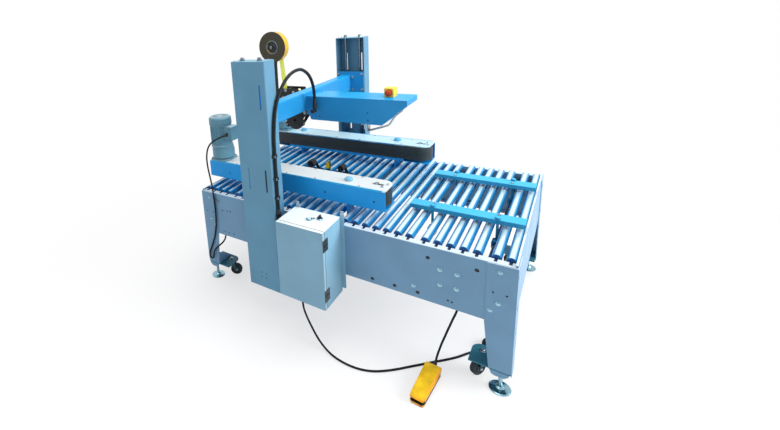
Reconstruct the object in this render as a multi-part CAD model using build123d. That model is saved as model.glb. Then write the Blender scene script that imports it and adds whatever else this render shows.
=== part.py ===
from build123d import *
import os
from math import atan2, degrees, hypot, pi, radians, sin, tan

# Semi-automatic carton sealer: a roller bed between two columns, two side belt drives that
# carry the carton, one tape head under the bed and one on a beam that slides on the columns.
# Millimetres.  Origin on the floor under the middle of the bed, X along the conveyor with
# the infeed at +X, Y across it (operator side at -Y), Z up.

os.makedirs("parts", exist_ok=True)

# ---------------------------------------------------------------- sheet and general
SHEET = 4.0            # bed side plates, end plates, columns
THIN = 3.0             # covers, legs, head
BEND = 6.0             # outer bend radius of folded sheet
RUNNING = 0.05         # radial clearance of a turning or sliding fit
AIR = 0.4              # gap between faces of different moving pieces

# ---------------------------------------------------------------- bed frame
BED_LENGTH = 1700.0
BED_WIDTH = 1110.0
BED_TOP = 615.0        # top flange of the side plates
SIDE_DEPTH = 280.0
FLANGE = 40.0
LIP = 26.0
FOOT_FLANGE = 25.0
END_TOP = 625.0
END_DEPTH = 255.0
END_RIM = 10.0         # folded rim above the rollers
END_FLANGE = 25.0
PLATE_HOLE = 18.0
PLATE_HOLES = ((515, 56), (708, 55), (261, 252), (369, 251), (474, 249))  # x, below the top

# ---------------------------------------------------------------- rollers
ROLLER_D = 38.0
AXLE_D = 12.0
AXLE_SINK = 3.0        # roller axis below the flange
ROLLER_PITCH = 52.5
WIDE_PITCH = 69.0      # pitch where a bracket passes between two rollers
WIDE_AFTER = (2, 7, 14, 27)
END_MARGIN = 28.0      # first roller axis to the end plate
TUBE_GAP = 3.0
AXLE_GRIP = 25.0       # axle end past the lip
SLOT_CLEAR = 0.1
SPLIT_FIRST = 17       # rollers 17 to 23 are split for the lower tape head
SPLIT_COUNT = 7
HEAD_RAIL_Y = 72.0     # inner face of the rails beside the lower tape head
RAIL_SHEET = 5.0

# ---------------------------------------------------------------- legs, feet, castors
LEG_WIDTH = 110.0
LEG_FOOT_WIDTH = 74.0
LEG_BOTTOM = 80.0
LEG_SHOULDER = 125.0
BRACKET_Z = 104.0      # underside of the foot and castor plate
BRACKET_T = 6.0
BRACKET_X = BED_LENGTH / 2 - 160.0
BRACKET_Y = BED_WIDTH / 2 - 127.0
BRACKET_R = 42.0
GUSSET_H = 88.0
FOOT_X = BED_LENGTH / 2 - 37.0
FOOT_Y = BED_WIDTH / 2 - 25.0
FOOT_D = 85.0
STUD_D = 16.0
NUT_AF = 24.0
CASTOR_X = FOOT_X - 78.0
CASTOR_Y = FOOT_Y - 60.0
CASTOR_TRAIL = 28.0
WHEEL_D = 76.0
WHEEL_W = 24.0
WHEEL_LIFT = 0.3
CASTOR_TURN = {"near_right": 239.0, "near_left": 30.0, "far_right": 128.0, "far_left": 205.0}

# ---------------------------------------------------------------- columns and lift
COLUMN_X = -329.0
COLUMN_WIDTH = 211.0
COLUMN_IN = BED_WIDTH / 2 + 11.0   # open edges
COLUMN_OUT = COLUMN_IN + 91.0      # web
COLUMN_BASE = 156.0
COLUMN_TOP = 1450.0
CAP = 4.0
SLOT_W = 10.0
SLOT_L = 128.0
ROD_D = 20.0
ROD_SPACING = 108.0
ROD_Y = COLUMN_IN + 52.0
ROD_TOP = 1467.0
CARRIAGE_Z = 1062.0
CARRIAGE_H = 146.0
CARRIAGE_T = 8.0
CARRIAGE_GAP = 2.0     # plate to the column's edges
BEAM_X = -326.0        # face that carries the head
BEAM_W = 70.0
BEAM_Z = 1067.0
BEAM_H = 116.0

# ---------------------------------------------------------------- upper head
HEAD_TOP = 1160.0
HEAD_H = 147.0
HEAD_HALF = 88.5
HEAD_NOSE = 277.0
SKID_T = 6.0
SKID_W = 40.0
ESTOP_X = 155.0
ESTOP_Y = 14.0
ESTOP_W = 56.0
ESTOP_H = 50.0

# ---------------------------------------------------------------- tape heads
ARM_SHEET = 4.0
ARM_Y = 40.0           # outer face of the roller arms
CASSETTE_Y = 46.0      # outer face of the cassette plates
PIN_D = 10.0
UP_FRONT_PIN = (-366.0, 1040.0)
UP_FRONT_ROLL = (-428.0, 948.0)
UP_REAR_PIN = (-450.0, 1040.0)
UP_REAR_ROLL = (-510.0, 949.0)
UP_ROLL_R = 18.0
LOW_FRONT_PIN = (159.5, 596.0)       # x from the middle of the split rollers
LOW_FRONT_ROLL = (130.5, 690.0)
LOW_REAR_PIN = (-12.5, 575.0)
LOW_REAR_ROLL = (-80.5, 690.0)
LOW_KNIFE_PIN = (27.5, 590.0)
LOW_KNIFE_TIP = (45.5, 712.0)
LOW_ROLL_R = 20.0
TAPE_R = 97.0
TAPE_W = 48.0
CORE_R = 38.0
SPINDLE_D = 16.0
UP_TAPE = (-596.0, 1457.0)
LOW_TAPE = (-22.5, 370.0)

# ---------------------------------------------------------------- side belt drives
BELT_IN = 293.0        # working face of the belt
BELT_T = 5.0
BELT_H = 84.0
BELT_Z = 692.0
PULLEY_R = 67.0
BELT_SLACK = 0.4
PULLEY_X0 = -790.0     # driven
PULLEY_X1 = 218.0      # tension end
COVER_OUT = 442.0
COVER_Z = 674.0
TOP_PLATE_T = 6.0
TOP_PLATE_Z = 778.0
SHAFT_Z = 540.0        # cross shafts under the rollers
SHAFT_D = 24.0
STEM_T = 14.0
STEM_W = 70.0
MOTOR_Y = 383.0
MOTOR_TOP = 1069.0
MOTOR_R = 66.0

# ---------------------------------------------------------------- carton guide rails
RAIL_IN = 193.0
RAIL_W = 72.0
RAIL_X0 = BED_LENGTH / 2 - 500.0
RAIL_X1 = BED_LENGTH / 2 - 8.0
RAIL_Z = 666.0
RAIL_LIP = 22.0
RAIL_T = 2.5
POST_D = 12.0

# ---------------------------------------------------------------- control box
BOX_X0 = -160.0
BOX_X1 = 102.0
BOX_Z0 = 238.0
BOX_Z1 = 657.0
BOX_FRONT = -BED_WIDTH / 2 - 174.0
BOX_WALL = 2.5
BACK_T = 3.0
EAR_W = 20.0           # fixing ears of the back plate
EAR_H = 33.0
DOOR_D = 21.0
HINGE_D = 8.0
LATCH_Z = (314.0, 586.0)
LATCH_Y = BOX_FRONT + 13.0
BUTTON_D = 20.0

# ---------------------------------------------------------------- foot switch and leads
SWITCH_HEEL = (560.0, -590.0)
SWITCH_TOE = (546.0, -810.0)
SWITCH_W = 65.0        # at the heel
SWITCH_TOE_W = 57.0
BOSS_LEN = 41.3        # inclined cord boss at the heel
BOSS_R = 7.5
TRUNK_Z0 = 345.0
TRUNK_H = 40.0
TRUNK_D = 46.0
TRUNK_X0 = 105.0 - BED_LENGTH / 2
TRUNK_X1 = BED_LENGTH / 2 - 160.0
MAINS_D = 10.5
SWITCH_LEAD_D = 9.5
MOTOR_LEAD_D = 10.0
CONDUIT_D = 18.0
CONDUIT_Y = BOX_FRONT + 95.0
ELBOW_X, ELBOW_Y, ELBOW_Z = -258.0, -108.0, 1118.0   # mouth of the elbow on the head
ELBOW_LOW = 596.0      # axis of the elbow on the control box
ELBOW_H = 40.0
COIL_X = 768.0
COIL_Y = -303.0
COIL_R = 63.0
COIL_BORE = 41.5
COIL_H = 29.0

parts = {}


# ---------------------------------------------------------------- helpers
def block(x0, x1, y0, y1, z0, z1):
    """Box between two corners."""
    return Pos((x0 + x1) / 2, (y0 + y1) / 2, (z0 + z1) / 2) * Box(x1 - x0, y1 - y0, z1 - z0)


def bar_y(x, z, r, y0, y1):
    """Round bar along Y."""
    return Pos(x, (y0 + y1) / 2, z) * (Rot(90, 0, 0) * Cylinder(r, abs(y1 - y0)))


def bar_x(y, z, r, x0, x1):
    """Round bar along X."""
    return Pos((x0 + x1) / 2, y, z) * (Rot(0, 90, 0) * Cylinder(r, abs(x1 - x0)))


def bar_z(x, y, r, z0, z1):
    """Round bar along Z."""
    return Pos(x, y, (z0 + z1) / 2) * Cylinder(r, z1 - z0)


def turned(x, y, points):
    """Piece turned about a vertical axis; points are (radius, z)."""
    return Pos(x, y, 0) * revolve(Plane.XZ * make_face(Polyline(*points, close=True)), Axis.Z)


def side_profile(points, y0, y1, radius=0.0):
    """Plate cut to an XZ outline and standing between y0 and y1."""
    face = make_face(Polyline(*points, close=True))
    if radius:
        face = fillet(face.vertices(), radius)
    return extrude(Plane.XZ.offset(-y1) * face, amount=y1 - y0)


def folded(plane, points, sheet, side, length, bend=BEND):
    """Folded sheet: the points run along its outer face in the given plane."""
    line = FilletPolyline(*points, radius=bend)
    return extrude(plane * make_face(offset(line, sheet, side=side)), amount=length)


def arm_plate(pin, end, r_pin, r_end, y0, y1):
    """Arm plate around two centres, with tangent flanks."""
    discs = Sketch() + [Pos(*pin) * Circle(r_pin), Pos(*end) * Circle(r_end)]
    return extrude(Plane.XZ.offset(-y1) * make_hull(discs.edges()), amount=y1 - y0)


def tube(name, points, diameter, radii=None):
    """Cord: straight runs joined by arcs as large as the runs allow."""
    pts = [Vector(*p) for p in points]
    if radii is None:
        radii = []
        for a, b, c in zip(pts, pts[1:], pts[2:]):
            turn = radians((b - a).get_angle(c - b))
            radii.append(0.45 * min((b - a).length, (c - b).length) / tan(turn / 2))
    path = FilletPolyline(*pts, radius=radii)
    body = sweep(Plane(origin=path @ 0, z_dir=path % 0) * Circle(diameter / 2), path=path)
    print(name, "length", round(path.length, 1), "radii", [round(r) for r in radii],
          "volume ratio", round(body.volume / (pi * diameter ** 2 / 4 * path.length), 5))
    return body


def group(solids):
    """Several separate solids in one node."""
    return Compound(children=list(solids))


def far_of(shape):
    """Mirror image on the other side of the bed."""
    return mirror(shape, about=Plane.XZ)


# ---------------------------------------------------------------- shared positions
half_l = BED_LENGTH / 2
half_w = BED_WIDTH / 2
side_low = BED_TOP - SIDE_DEPTH
plate_in = half_w - SHEET                       # inner face of the side plate's web
roller_z = BED_TOP - AXLE_SINK
lip_in = half_w - FLANGE
tube_end = lip_in - TUBE_GAP
axle_end = lip_in + AXLE_GRIP
roller_top = roller_z + ROLLER_D / 2

roller_x, gap_x = [], []
x = half_l - END_MARGIN
while x > -half_l + END_MARGIN - 1:
    roller_x.append(x)
    wide = len(roller_x) in WIDE_AFTER
    if wide:
        gap_x.append(x - WIDE_PITCH / 2)
    x -= WIDE_PITCH if wide else ROLLER_PITCH
split_x = roller_x[SPLIT_FIRST:SPLIT_FIRST + SPLIT_COUNT]
long_x = [x for x in roller_x if x not in split_x]
member_x = (split_x[0] + ROLLER_PITCH / 2, split_x[-1] - ROLLER_PITCH / 2)

head_x = sum(member_x) / 2
low_front_pin, low_front_roll, low_rear_pin, low_rear_roll, low_knife_pin, low_knife_tip, low_tape = [
    (head_x + dx, z) for dx, z in (LOW_FRONT_PIN, LOW_FRONT_ROLL, LOW_REAR_PIN, LOW_REAR_ROLL,
                                   LOW_KNIFE_PIN, LOW_KNIFE_TIP, LOW_TAPE)]

# ---------------------------------------------------------------- bed side plates
side = folded(Plane.YZ.offset(-half_l + SHEET),
              [(-lip_in, BED_TOP - LIP), (-lip_in, BED_TOP), (-half_w, BED_TOP),
               (-half_w, side_low), (-half_w + FOOT_FLANGE, side_low)],
              SHEET, Side.LEFT, BED_LENGTH - 2 * SHEET)
slot_r = AXLE_D / 2 + SLOT_CLEAR
slot = (block(-slot_r, slot_r, -axle_end - 2, -lip_in + 1, roller_z, BED_TOP + 1)
        + bar_y(0, roller_z, slot_r, -axle_end - 2, -lip_in + 1))
side -= [Pos(x, 0, 0) * slot for x in roller_x]
side -= [bar_y(x, BED_TOP - d, PLATE_HOLE / 2, -half_w - 1, -plate_in + 1)
         for x, d in PLATE_HOLES]
trunk = folded(Plane.YZ.offset(TRUNK_X0),
               [(-plate_in, TRUNK_Z0), (-plate_in + TRUNK_D, TRUNK_Z0),
                (-plate_in + TRUNK_D, TRUNK_Z0 + TRUNK_H), (-plate_in, TRUNK_Z0 + TRUNK_H)],
               2.0, Side.LEFT, TRUNK_X1 - TRUNK_X0, 4.0)
parts["near_side_plate"] = side + trunk
parts["far_side_plate"] = far_of(side)

# ---------------------------------------------------------------- end frames: plate, two legs
end_low = END_TOP - END_DEPTH
flange_half = plate_in - 1.0
end_frame = folded(Plane.XZ.offset(-flange_half),
                   [(half_l - END_RIM, END_TOP), (half_l, END_TOP), (half_l, end_low),
                    (half_l - END_FLANGE, end_low)], SHEET, Side.RIGHT, 2 * flange_half)
end_frame += block(half_l - SHEET, half_l, -half_w, half_w, end_low, BED_TOP)
leg_out = half_l + THIN
leg_top = BED_TOP - 2.0
taper = [(LEG_WIDTH, leg_top), (LEG_WIDTH, side_low), (LEG_FOOT_WIDTH + 12, LEG_SHOULDER - 5),
         (LEG_FOOT_WIDTH, LEG_BOTTOM + 6), (LEG_FOOT_WIDTH - 12, LEG_BOTTOM),
         (26, LEG_BOTTOM), (10, LEG_BOTTOM + 14), (0, LEG_SHOULDER), (0, leg_top)]
for s in (-1, 1):
    front = [(leg_out - w, z) for w, z in taper]
    y_face = s * (half_w + THIN / 2)
    leg = side_profile(front, y_face - THIN / 2, y_face + THIN / 2)
    flank = make_face(Polyline(*[(s * (half_w + THIN - w), z) for w, z in taper], close=True))
    leg += extrude(Plane.YZ.offset(half_l) * flank, amount=THIN)
    y0, y1 = sorted((s * BRACKET_Y, s * half_w))
    shelf = block(BRACKET_X, half_l, y0, y1, BRACKET_Z, BRACKET_Z + BRACKET_T)
    corner = [e for e in shelf.edges().filter_by(Axis.Z)
              if e.center().X < BRACKET_X + 1 and abs(e.center().Y) < BRACKET_Y + 1]
    shelf = fillet(corner, BRACKET_R)
    shelf -= bar_z(FOOT_X, s * FOOT_Y, STUD_D / 2 + 0.2, 0, 200)
    shelf -= bar_z(CASTOR_X, s * CASTOR_Y, 5 + RUNNING, 0, 200)
    z = BRACKET_Z + BRACKET_T
    rib = make_face(Polyline((s * half_w, z), (s * (BRACKET_Y + 8), z),
                             (s * (BRACKET_Y + 30), z + 18), (s * half_w, z + GUSSET_H),
                             close=True))
    gusset = extrude(Plane.YZ.offset(half_l - LEG_WIDTH + THIN + 24) * rib, amount=SHEET)
    end_frame += [leg, shelf, gusset]
parts["end_frames"] = group([end_frame, mirror(end_frame, about=Plane.YZ)])

# ---------------------------------------------------------------- levelling feet
hexagon = RegularPolygon(NUT_AF / 2, 6, major_radius=False)
foot = turned(0, 0, [(0, 0), (FOOT_D / 2, 0), (FOOT_D / 2, 4), (FOOT_D / 2 - 4, 6), (18, 9),
                     (12, 18), (STUD_D / 2, 20), (STUD_D / 2, 150), (STUD_D / 2 - 1.5, 152),
                     (0, 152)])
foot += Pos(0, 0, BRACKET_Z - 12) * extrude(hexagon, amount=12)
foot += Pos(0, 0, BRACKET_Z + BRACKET_T) * extrude(hexagon, amount=8)
feet = [Pos(sx * FOOT_X, sy * FOOT_Y, 0) * foot for sx in (-1, 1) for sy in (-1, 1)]
parts["levelling_feet"] = group(feet)

# ---------------------------------------------------------------- castors
wheel_z = WHEEL_D / 2 + WHEEL_LIFT
cheek_in = WHEEL_W / 2 + 2.5
crown_top = BRACKET_Z - AIR
fork = turned(0, 0, [(0, crown_top - 11), (22, crown_top - 11), (27, crown_top - 5),
                     (27, crown_top), (0, crown_top)])
fork += bar_z(0, 0, 5, crown_top - 1, BRACKET_Z + BRACKET_T + 3)
for s in (-1, 1):
    y0, y1 = sorted((s * cheek_in, s * (cheek_in + THIN)))
    fork += side_profile([(-20, crown_top - 8), (18, crown_top - 8), (-CASTOR_TRAIL + 9, wheel_z - 6),
                          (-CASTOR_TRAIL, wheel_z - 12), (-CASTOR_TRAIL - 9, wheel_z - 6)],
                         y0, y1, 3)
fork += bar_y(-CASTOR_TRAIL, wheel_z, 4, -cheek_in - THIN - 2, cheek_in + THIN + 2)
wheel_blank = revolve(make_face(Polyline((4 + RUNNING, -WHEEL_W / 2), (13, -WHEEL_W / 2),
                                         (16, -WHEEL_W / 2 + 5), (27, -WHEEL_W / 2 + 5),
                                         (30, -WHEEL_W / 2), (WHEEL_D / 2 - 3, -WHEEL_W / 2),
                                         (WHEEL_D / 2, -WHEEL_W / 2 + 4), (WHEEL_D / 2, WHEEL_W / 2 - 4),
                                         (WHEEL_D / 2 - 3, WHEEL_W / 2), (30, WHEEL_W / 2),
                                         (27, WHEEL_W / 2 - 5), (16, WHEEL_W / 2 - 5),
                                         (13, WHEEL_W / 2), (4 + RUNNING, WHEEL_W / 2),
                                         close=True)), Axis.Y)
wheel = Pos(-CASTOR_TRAIL, 0, wheel_z) * wheel_blank
for key, turn in CASTOR_TURN.items():
    sy = -1 if key.startswith("near") else 1
    sx = 1 if key.endswith("right") else -1
    place = Pos(sx * CASTOR_X, sy * CASTOR_Y, 0) * Rot(0, 0, turn - 180)
    parts[key + "_castor_fork"] = place * fork
    parts[key + "_castor_wheel"] = place * wheel

# ---------------------------------------------------------------- columns and guide shafts
column_x0 = COLUMN_X - COLUMN_WIDTH / 2
column_x1 = COLUMN_X + COLUMN_WIDTH / 2
rod_x = (COLUMN_X - ROD_SPACING / 2, COLUMN_X + ROD_SPACING / 2)
web_slot = Plane.XZ.offset(-COLUMN_OUT - 1) * SlotOverall(SLOT_L, SLOT_W, rotation=90)
web_cut = extrude(web_slot, amount=SHEET + 2)


def column(upper_slots):
    """Far-side column: open channel with end caps and a pad against the side plate."""
    shell = folded(Plane.XY.offset(COLUMN_BASE),
                   [(column_x0, COLUMN_IN), (column_x0, COLUMN_OUT), (column_x1, COLUMN_OUT),
                    (column_x1, COLUMN_IN)], SHEET, Side.RIGHT, COLUMN_TOP - COLUMN_BASE, 8)
    inside = (column_x0 + SHEET, column_x1 - SHEET, COLUMN_IN, COLUMN_OUT - SHEET)
    shell += block(*inside, COLUMN_TOP - CAP, COLUMN_TOP)
    shell += block(*inside, COLUMN_BASE, COLUMN_BASE + CAP)
    shell += block(column_x0, column_x1, half_w, COLUMN_IN, side_low + 6, BED_TOP - 14)
    shell -= [bar_z(x, ROD_Y, ROD_D / 2 + RUNNING, COLUMN_TOP - CAP - 1, COLUMN_TOP + 1)
              for x in rod_x]
    shell -= [Pos(x, 0, 1270) * web_cut for x in upper_slots]
    shell -= [Pos(x, 0, 817) * web_cut for x in (COLUMN_X - 43, COLUMN_X + 66)]
    shell -= [bar_y(COLUMN_X + dx, z, 4, COLUMN_OUT - SHEET - 1, COLUMN_OUT + 1)
              for dx in (-16, 16) for z in (222, 249)]
    return shell


parts["far_column"] = column((COLUMN_X - 61, COLUMN_X + 51))
near_column = far_of(column((COLUMN_X + 68,)))
conduit_x = column_x1 + CONDUIT_D / 2 + 0.8
for z in (728, 835, 959):
    saddle = block(column_x1, conduit_x + CONDUIT_D / 2 + 2.5, CONDUIT_Y - 12, CONDUIT_Y + 12,
                   z - 6, z + 6)
    saddle = fillet(saddle.edges().filter_by(Axis.Z).sort_by(Axis.X)[-2:], 6)
    near_column += saddle - bar_z(conduit_x, CONDUIT_Y, CONDUIT_D / 2 + 0.1, z - 7, z + 7)
parts["near_column"] = near_column

rods = []
for s in (-1, 1):
    for x in rod_x:
        rod = bar_z(x, s * ROD_Y, ROD_D / 2, COLUMN_BASE + CAP, ROD_TOP)
        rods.append(rod + Pos(x, s * ROD_Y, COLUMN_TOP) * extrude(hexagon, amount=9))
for x in gap_x:
    rods.append(bar_y(x, SHAFT_Z, SHAFT_D / 2, -plate_in, plate_in))
parts["guide_shafts"] = group(rods)

# ---------------------------------------------------------------- bed members, head rails
MEMBER_W = 35.0
MEMBER_H = 45.0
member_z = roller_z - ROLLER_D / 2 - 8 - MEMBER_H
members = None
for x, s in zip(member_x, (1, -1)):
    c = folded(Plane.XZ.offset(-plate_in),
               [(x + s * MEMBER_W / 2, member_z + MEMBER_H), (x - s * MEMBER_W / 2, member_z + MEMBER_H),
                (x - s * MEMBER_W / 2, member_z), (x + s * MEMBER_W / 2, member_z)],
               SHEET, Side.LEFT if s > 0 else Side.RIGHT, 2 * plate_in)
    members = c if members is None else members + c
rail_top = BED_TOP + 2.0
member_top = member_z + MEMBER_H
rail_end = 5.0          # past the member's middle, clear of the next long roller
rail_shape = [(member_x[1] - rail_end, rail_top), (member_x[1] - rail_end, member_top),
              (member_x[1] + MEMBER_W / 2, member_top), (member_x[1] + MEMBER_W / 2, member_z + 5),
              (member_x[0] - MEMBER_W / 2, member_z + 5), (member_x[0] - MEMBER_W / 2, member_top),
              (member_x[0] + rail_end, member_top), (member_x[0] + rail_end, rail_top)]
rail_slot = (block(-slot_r, slot_r, -1, RAIL_SHEET + 1, roller_z, rail_top + 1)
             + bar_y(0, roller_z, slot_r, -1, RAIL_SHEET + 1))
for y in (HEAD_RAIL_Y, -HEAD_RAIL_Y - RAIL_SHEET):
    rail = side_profile(rail_shape, y, y + RAIL_SHEET)
    members += rail - [Pos(x, y, 0) * rail_slot for x in split_x]
parts["bed_members"] = members


# ---------------------------------------------------------------- rollers
def roller(y0, y1, e0, e1):
    """Tube between y0 and y1 on an axle between e0 and e1, lying along Y."""
    r, a = ROLLER_D / 2, AXLE_D / 2
    return revolve(make_face(Polyline((0, e0), (a, e0), (a, y0), (r - 1.5, y0), (r, y0 + 1.5),
                                      (r, y1 - 1.5), (r - 1.5, y1), (a, y1), (a, e1), (0, e1),
                                      close=True)), Axis.Y)


long_roller = roller(-tube_end, tube_end, -axle_end, axle_end)
short_in = HEAD_RAIL_Y + RAIL_SHEET + TUBE_GAP
far_roller = roller(short_in, tube_end, HEAD_RAIL_Y - 1, axle_end)
rollers = [Pos(x, 0, roller_z) * long_roller for x in long_x]
for x in split_x:
    rollers += [Pos(x, 0, roller_z) * far_roller, Pos(x, 0, roller_z) * far_of(far_roller)]
parts["bed_rollers"] = group(rollers)

# ---------------------------------------------------------------- side belt drives (far side)
pulley_y = BELT_IN + BELT_T + PULLEY_R + BELT_SLACK
belt_r = PULLEY_R + BELT_SLACK
pulley_mid = (PULLEY_X0 + PULLEY_X1) / 2
span = PULLEY_X1 - PULLEY_X0
belt_end = PULLEY_R + BELT_SLACK + BELT_T
plate_x0 = PULLEY_X0 - belt_end
plate_x1 = PULLEY_X1 + belt_end - 4
plate_y0 = BELT_IN + 7
racetrack = SlotCenterToCenter(span, 2 * (belt_r + BELT_T)) - SlotCenterToCenter(span, 2 * belt_r)
belt = extrude(Pos(pulley_mid, pulley_y, BELT_Z) * racetrack, amount=BELT_H)

cover = folded(Plane.YZ.offset(plate_x0),
               [(plate_y0, COVER_Z), (COVER_OUT, COVER_Z), (COVER_OUT, TOP_PLATE_Z)],
               THIN, Side.LEFT, plate_x1 - plate_x0)
slide_y0 = BELT_IN + BELT_T + 0.6
slide_x0, slide_x1 = PULLEY_X0 + PULLEY_R + 14, PULLEY_X1 - PULLEY_R - 14
cover += folded(Plane.YZ.offset(slide_x0),
                [(slide_y0, TOP_PLATE_Z), (slide_y0, COVER_Z), (slide_y0 + 60, COVER_Z)],
                THIN, Side.LEFT, slide_x1 - slide_x0)
stem_y0 = (BELT_IN + COVER_OUT) / 2 - STEM_W / 2
stem_y1 = stem_y0 + STEM_W
for x in gap_x[2:4]:
    stem = block(x - STEM_T / 2, x + STEM_T / 2, stem_y0, stem_y1, SHAFT_Z, COVER_Z)
    hub = block(x - 19, x + 19, stem_y0, stem_y1, SHAFT_Z - 20, SHAFT_Z + 20)
    stem += fillet(hub.edges().filter_by(Axis.Y), 6)
    cover += stem - bar_y(x, SHAFT_Z, SHAFT_D / 2 + RUNNING, stem_y0 - 1, stem_y1 + 1)
SHAFT_R_DRIVE = 12.0
SHAFT_R_IDLE = 10.0
TENSION = 40.0
tension_slot = SlotOverall(TENSION + 2 * SHAFT_R_IDLE, 2 * (SHAFT_R_IDLE + RUNNING))
slot_place = Pos(PULLEY_X1 + 6, pulley_y, 0)
cover -= slot_place * Pos(0, 0, COVER_Z - 1) * extrude(tension_slot, amount=THIN + 2)
cover -= bar_z(PULLEY_X0, pulley_y, SHAFT_R_DRIVE + RUNNING, COVER_Z - 1, COVER_Z + THIN + 1)

top = block(plate_x0, plate_x1, plate_y0, COVER_OUT, TOP_PLATE_Z, TOP_PLATE_Z + TOP_PLATE_T)
inner = top.edges().filter_by(Axis.Z).sort_by(Axis.Y)
top = fillet(inner[:2], 48)
top = fillet(top.edges().filter_by(Axis.Z).sort_by(Axis.Y)[-2:], 16)
top -= slot_place * Pos(0, 0, TOP_PLATE_Z - 1) * extrude(tension_slot, amount=TOP_PLATE_T + 2)
top -= bar_z(PULLEY_X0, pulley_y, SHAFT_R_DRIVE + RUNNING, TOP_PLATE_Z - 1, TOP_PLATE_Z + 9)
top_face = TOP_PLATE_Z + TOP_PLATE_T
for x in gap_x[2:4]:
    top += turned(x, 378, [(0, top_face), (24, top_face), (24, top_face + 7), (17, top_face + 15),
                           (7, top_face + 19), (0, top_face + 19)])

crown = 0.6
pulley_face = [(PULLEY_R - crown, BELT_Z), (PULLEY_R, BELT_Z + BELT_H * 0.3),
               (PULLEY_R, BELT_Z + BELT_H * 0.7), (PULLEY_R - crown, BELT_Z + BELT_H)]


def pulley(x, shaft, low, high):
    """Crowned pulley with recessed ends on its own shaft."""
    z0, z1 = BELT_Z, BELT_Z + BELT_H
    return turned(x, pulley_y, [(0, low), (shaft, low), (shaft, z0 - 4), (26, z0 - 4), (26, z0 + 12),
                                (PULLEY_R - 9, z0 + 12), (PULLEY_R - 9, z0)] + pulley_face
                  + [(PULLEY_R - 9, z1), (PULLEY_R - 9, z1 - 12), (shaft, z1 - 12),
                     (shaft, high), (0, high)])


drive_pulley = pulley(PULLEY_X0, SHAFT_R_DRIVE, COVER_Z - 6, top_face + 12)
idler_pulley = pulley(PULLEY_X1, SHAFT_R_IDLE, COVER_Z - 6, top_face + 8)

gear_y = MOTOR_Y - 6
gear = block(PULLEY_X0 - 66, PULLEY_X0 + 66, gear_y - 66, gear_y + 66, top_face, top_face + 10)
gear = fillet(gear.edges().filter_by(Axis.Z), 20)
gear += turned(PULLEY_X0, gear_y, [(0, top_face + 10), (60, top_face + 10), (72, top_face + 22),
                                   (72, top_face + 74), (67, top_face + 80), (67, top_face + 92),
                                   (0, top_face + 92)])
gear += turned(PULLEY_X0, MOTOR_Y, [(0, top_face + 92), (MOTOR_R + 5, top_face + 92),
                                    (MOTOR_R + 5, top_face + 100), (MOTOR_R, top_face + 104),
                                    (MOTOR_R, MOTOR_TOP - 54), (MOTOR_R + 6, MOTOR_TOP - 50),
                                    (MOTOR_R + 6, MOTOR_TOP - 10), (MOTOR_R - 2, MOTOR_TOP),
                                    (0, MOTOR_TOP)])
terminal_x1 = PULLEY_X0 + 110
terminal = block(PULLEY_X0 + 40, terminal_x1, MOTOR_Y - 35, MOTOR_Y + 35, 920, 1012)
terminal = fillet(terminal.edges().filter_by(Axis.Y).sort_by(Axis.X)[-2:], 8)
gland_x = PULLEY_X0 + 78
GLAND_Z = 962.0
terminal += bar_y(gland_x, GLAND_Z, 9, MOTOR_Y + 34, MOTOR_Y + 47)
gear += terminal
gear -= bar_z(PULLEY_X0, pulley_y, SHAFT_R_DRIVE + RUNNING, top_face - 1, top_face + 12.5)

for side_name, place in (("far", lambda s: s), ("near", far_of)):
    parts[side_name + "_drive_cover"] = place(cover)
    parts[side_name + "_drive_plate"] = place(top)
    parts[side_name + "_drive_belt"] = place(belt)
    parts[side_name + "_drive_pulley"] = place(drive_pulley)
    parts[side_name + "_idler_pulley"] = place(idler_pulley)
    parts[side_name + "_gearmotor"] = place(gear)

# ---------------------------------------------------------------- lift carriages and beam
plate_y1 = COLUMN_IN - CARRIAGE_GAP
carriage_y0 = plate_y1 - CARRIAGE_T
carriage = block(column_x0 + 4, column_x1 - 4, carriage_y0, plate_y1, CARRIAGE_Z,
                 CARRIAGE_Z + CARRIAGE_H)
carriage = fillet(carriage.edges().filter_by(Axis.Y), 6)
shoe = block(rod_x[0] - 22, rod_x[1] + 22, plate_y1, ROD_Y + 18, CARRIAGE_Z + 14,
             CARRIAGE_Z + CARRIAGE_H - 14)
carriage += fillet(shoe.edges().filter_by(Axis.Z).sort_by(Axis.Y)[-2:], 10)
carriage -= [bar_z(x, ROD_Y, ROD_D / 2 + RUNNING, CARRIAGE_Z, CARRIAGE_Z + CARRIAGE_H)
             for x in rod_x]
parts["lift_carriages"] = group([carriage, far_of(carriage)])

beam_in = Pos(BEAM_X - BEAM_W / 2, BEAM_Z + BEAM_H / 2) * (RectangleRounded(BEAM_W, BEAM_H, 8)
                                                          - Rectangle(BEAM_W - 8, BEAM_H - 8))
parts["cross_beam"] = extrude(Plane.XZ.offset(-carriage_y0) * beam_in, amount=2 * carriage_y0)

# ---------------------------------------------------------------- head body
head_low = HEAD_TOP - HEAD_H
nose_end = (HEAD_NOSE, HEAD_TOP - 31)
nose_knee = (HEAD_NOSE - 40, HEAD_TOP - 61)
nose_foot = (HEAD_NOSE - 135, head_low)
outline = make_face(Polyline((BEAM_X, HEAD_TOP), (BEAM_X, head_low + 36), (BEAM_X + 18, head_low + 26),
                             (BEAM_X + 27, head_low), nose_foot, nose_knee, nose_end,
                             (HEAD_NOSE, HEAD_TOP), close=True))
outline = fillet(outline.vertices(), 5)
head = extrude(Plane.XZ.offset(-HEAD_HALF) * outline, amount=2 * HEAD_HALF)
hollow = HEAD_HALF - THIN
head -= extrude(Plane.XZ.offset(-hollow) * offset(outline, -THIN), amount=2 * hollow)
head -= block(BEAM_X + 34, nose_foot[0] - 8, -hollow, hollow, head_low - 1, head_low + THIN + 1)
elbow_r = CONDUIT_D / 2 + 0.2
elbow_low = ELBOW_Z - ELBOW_H
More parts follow.
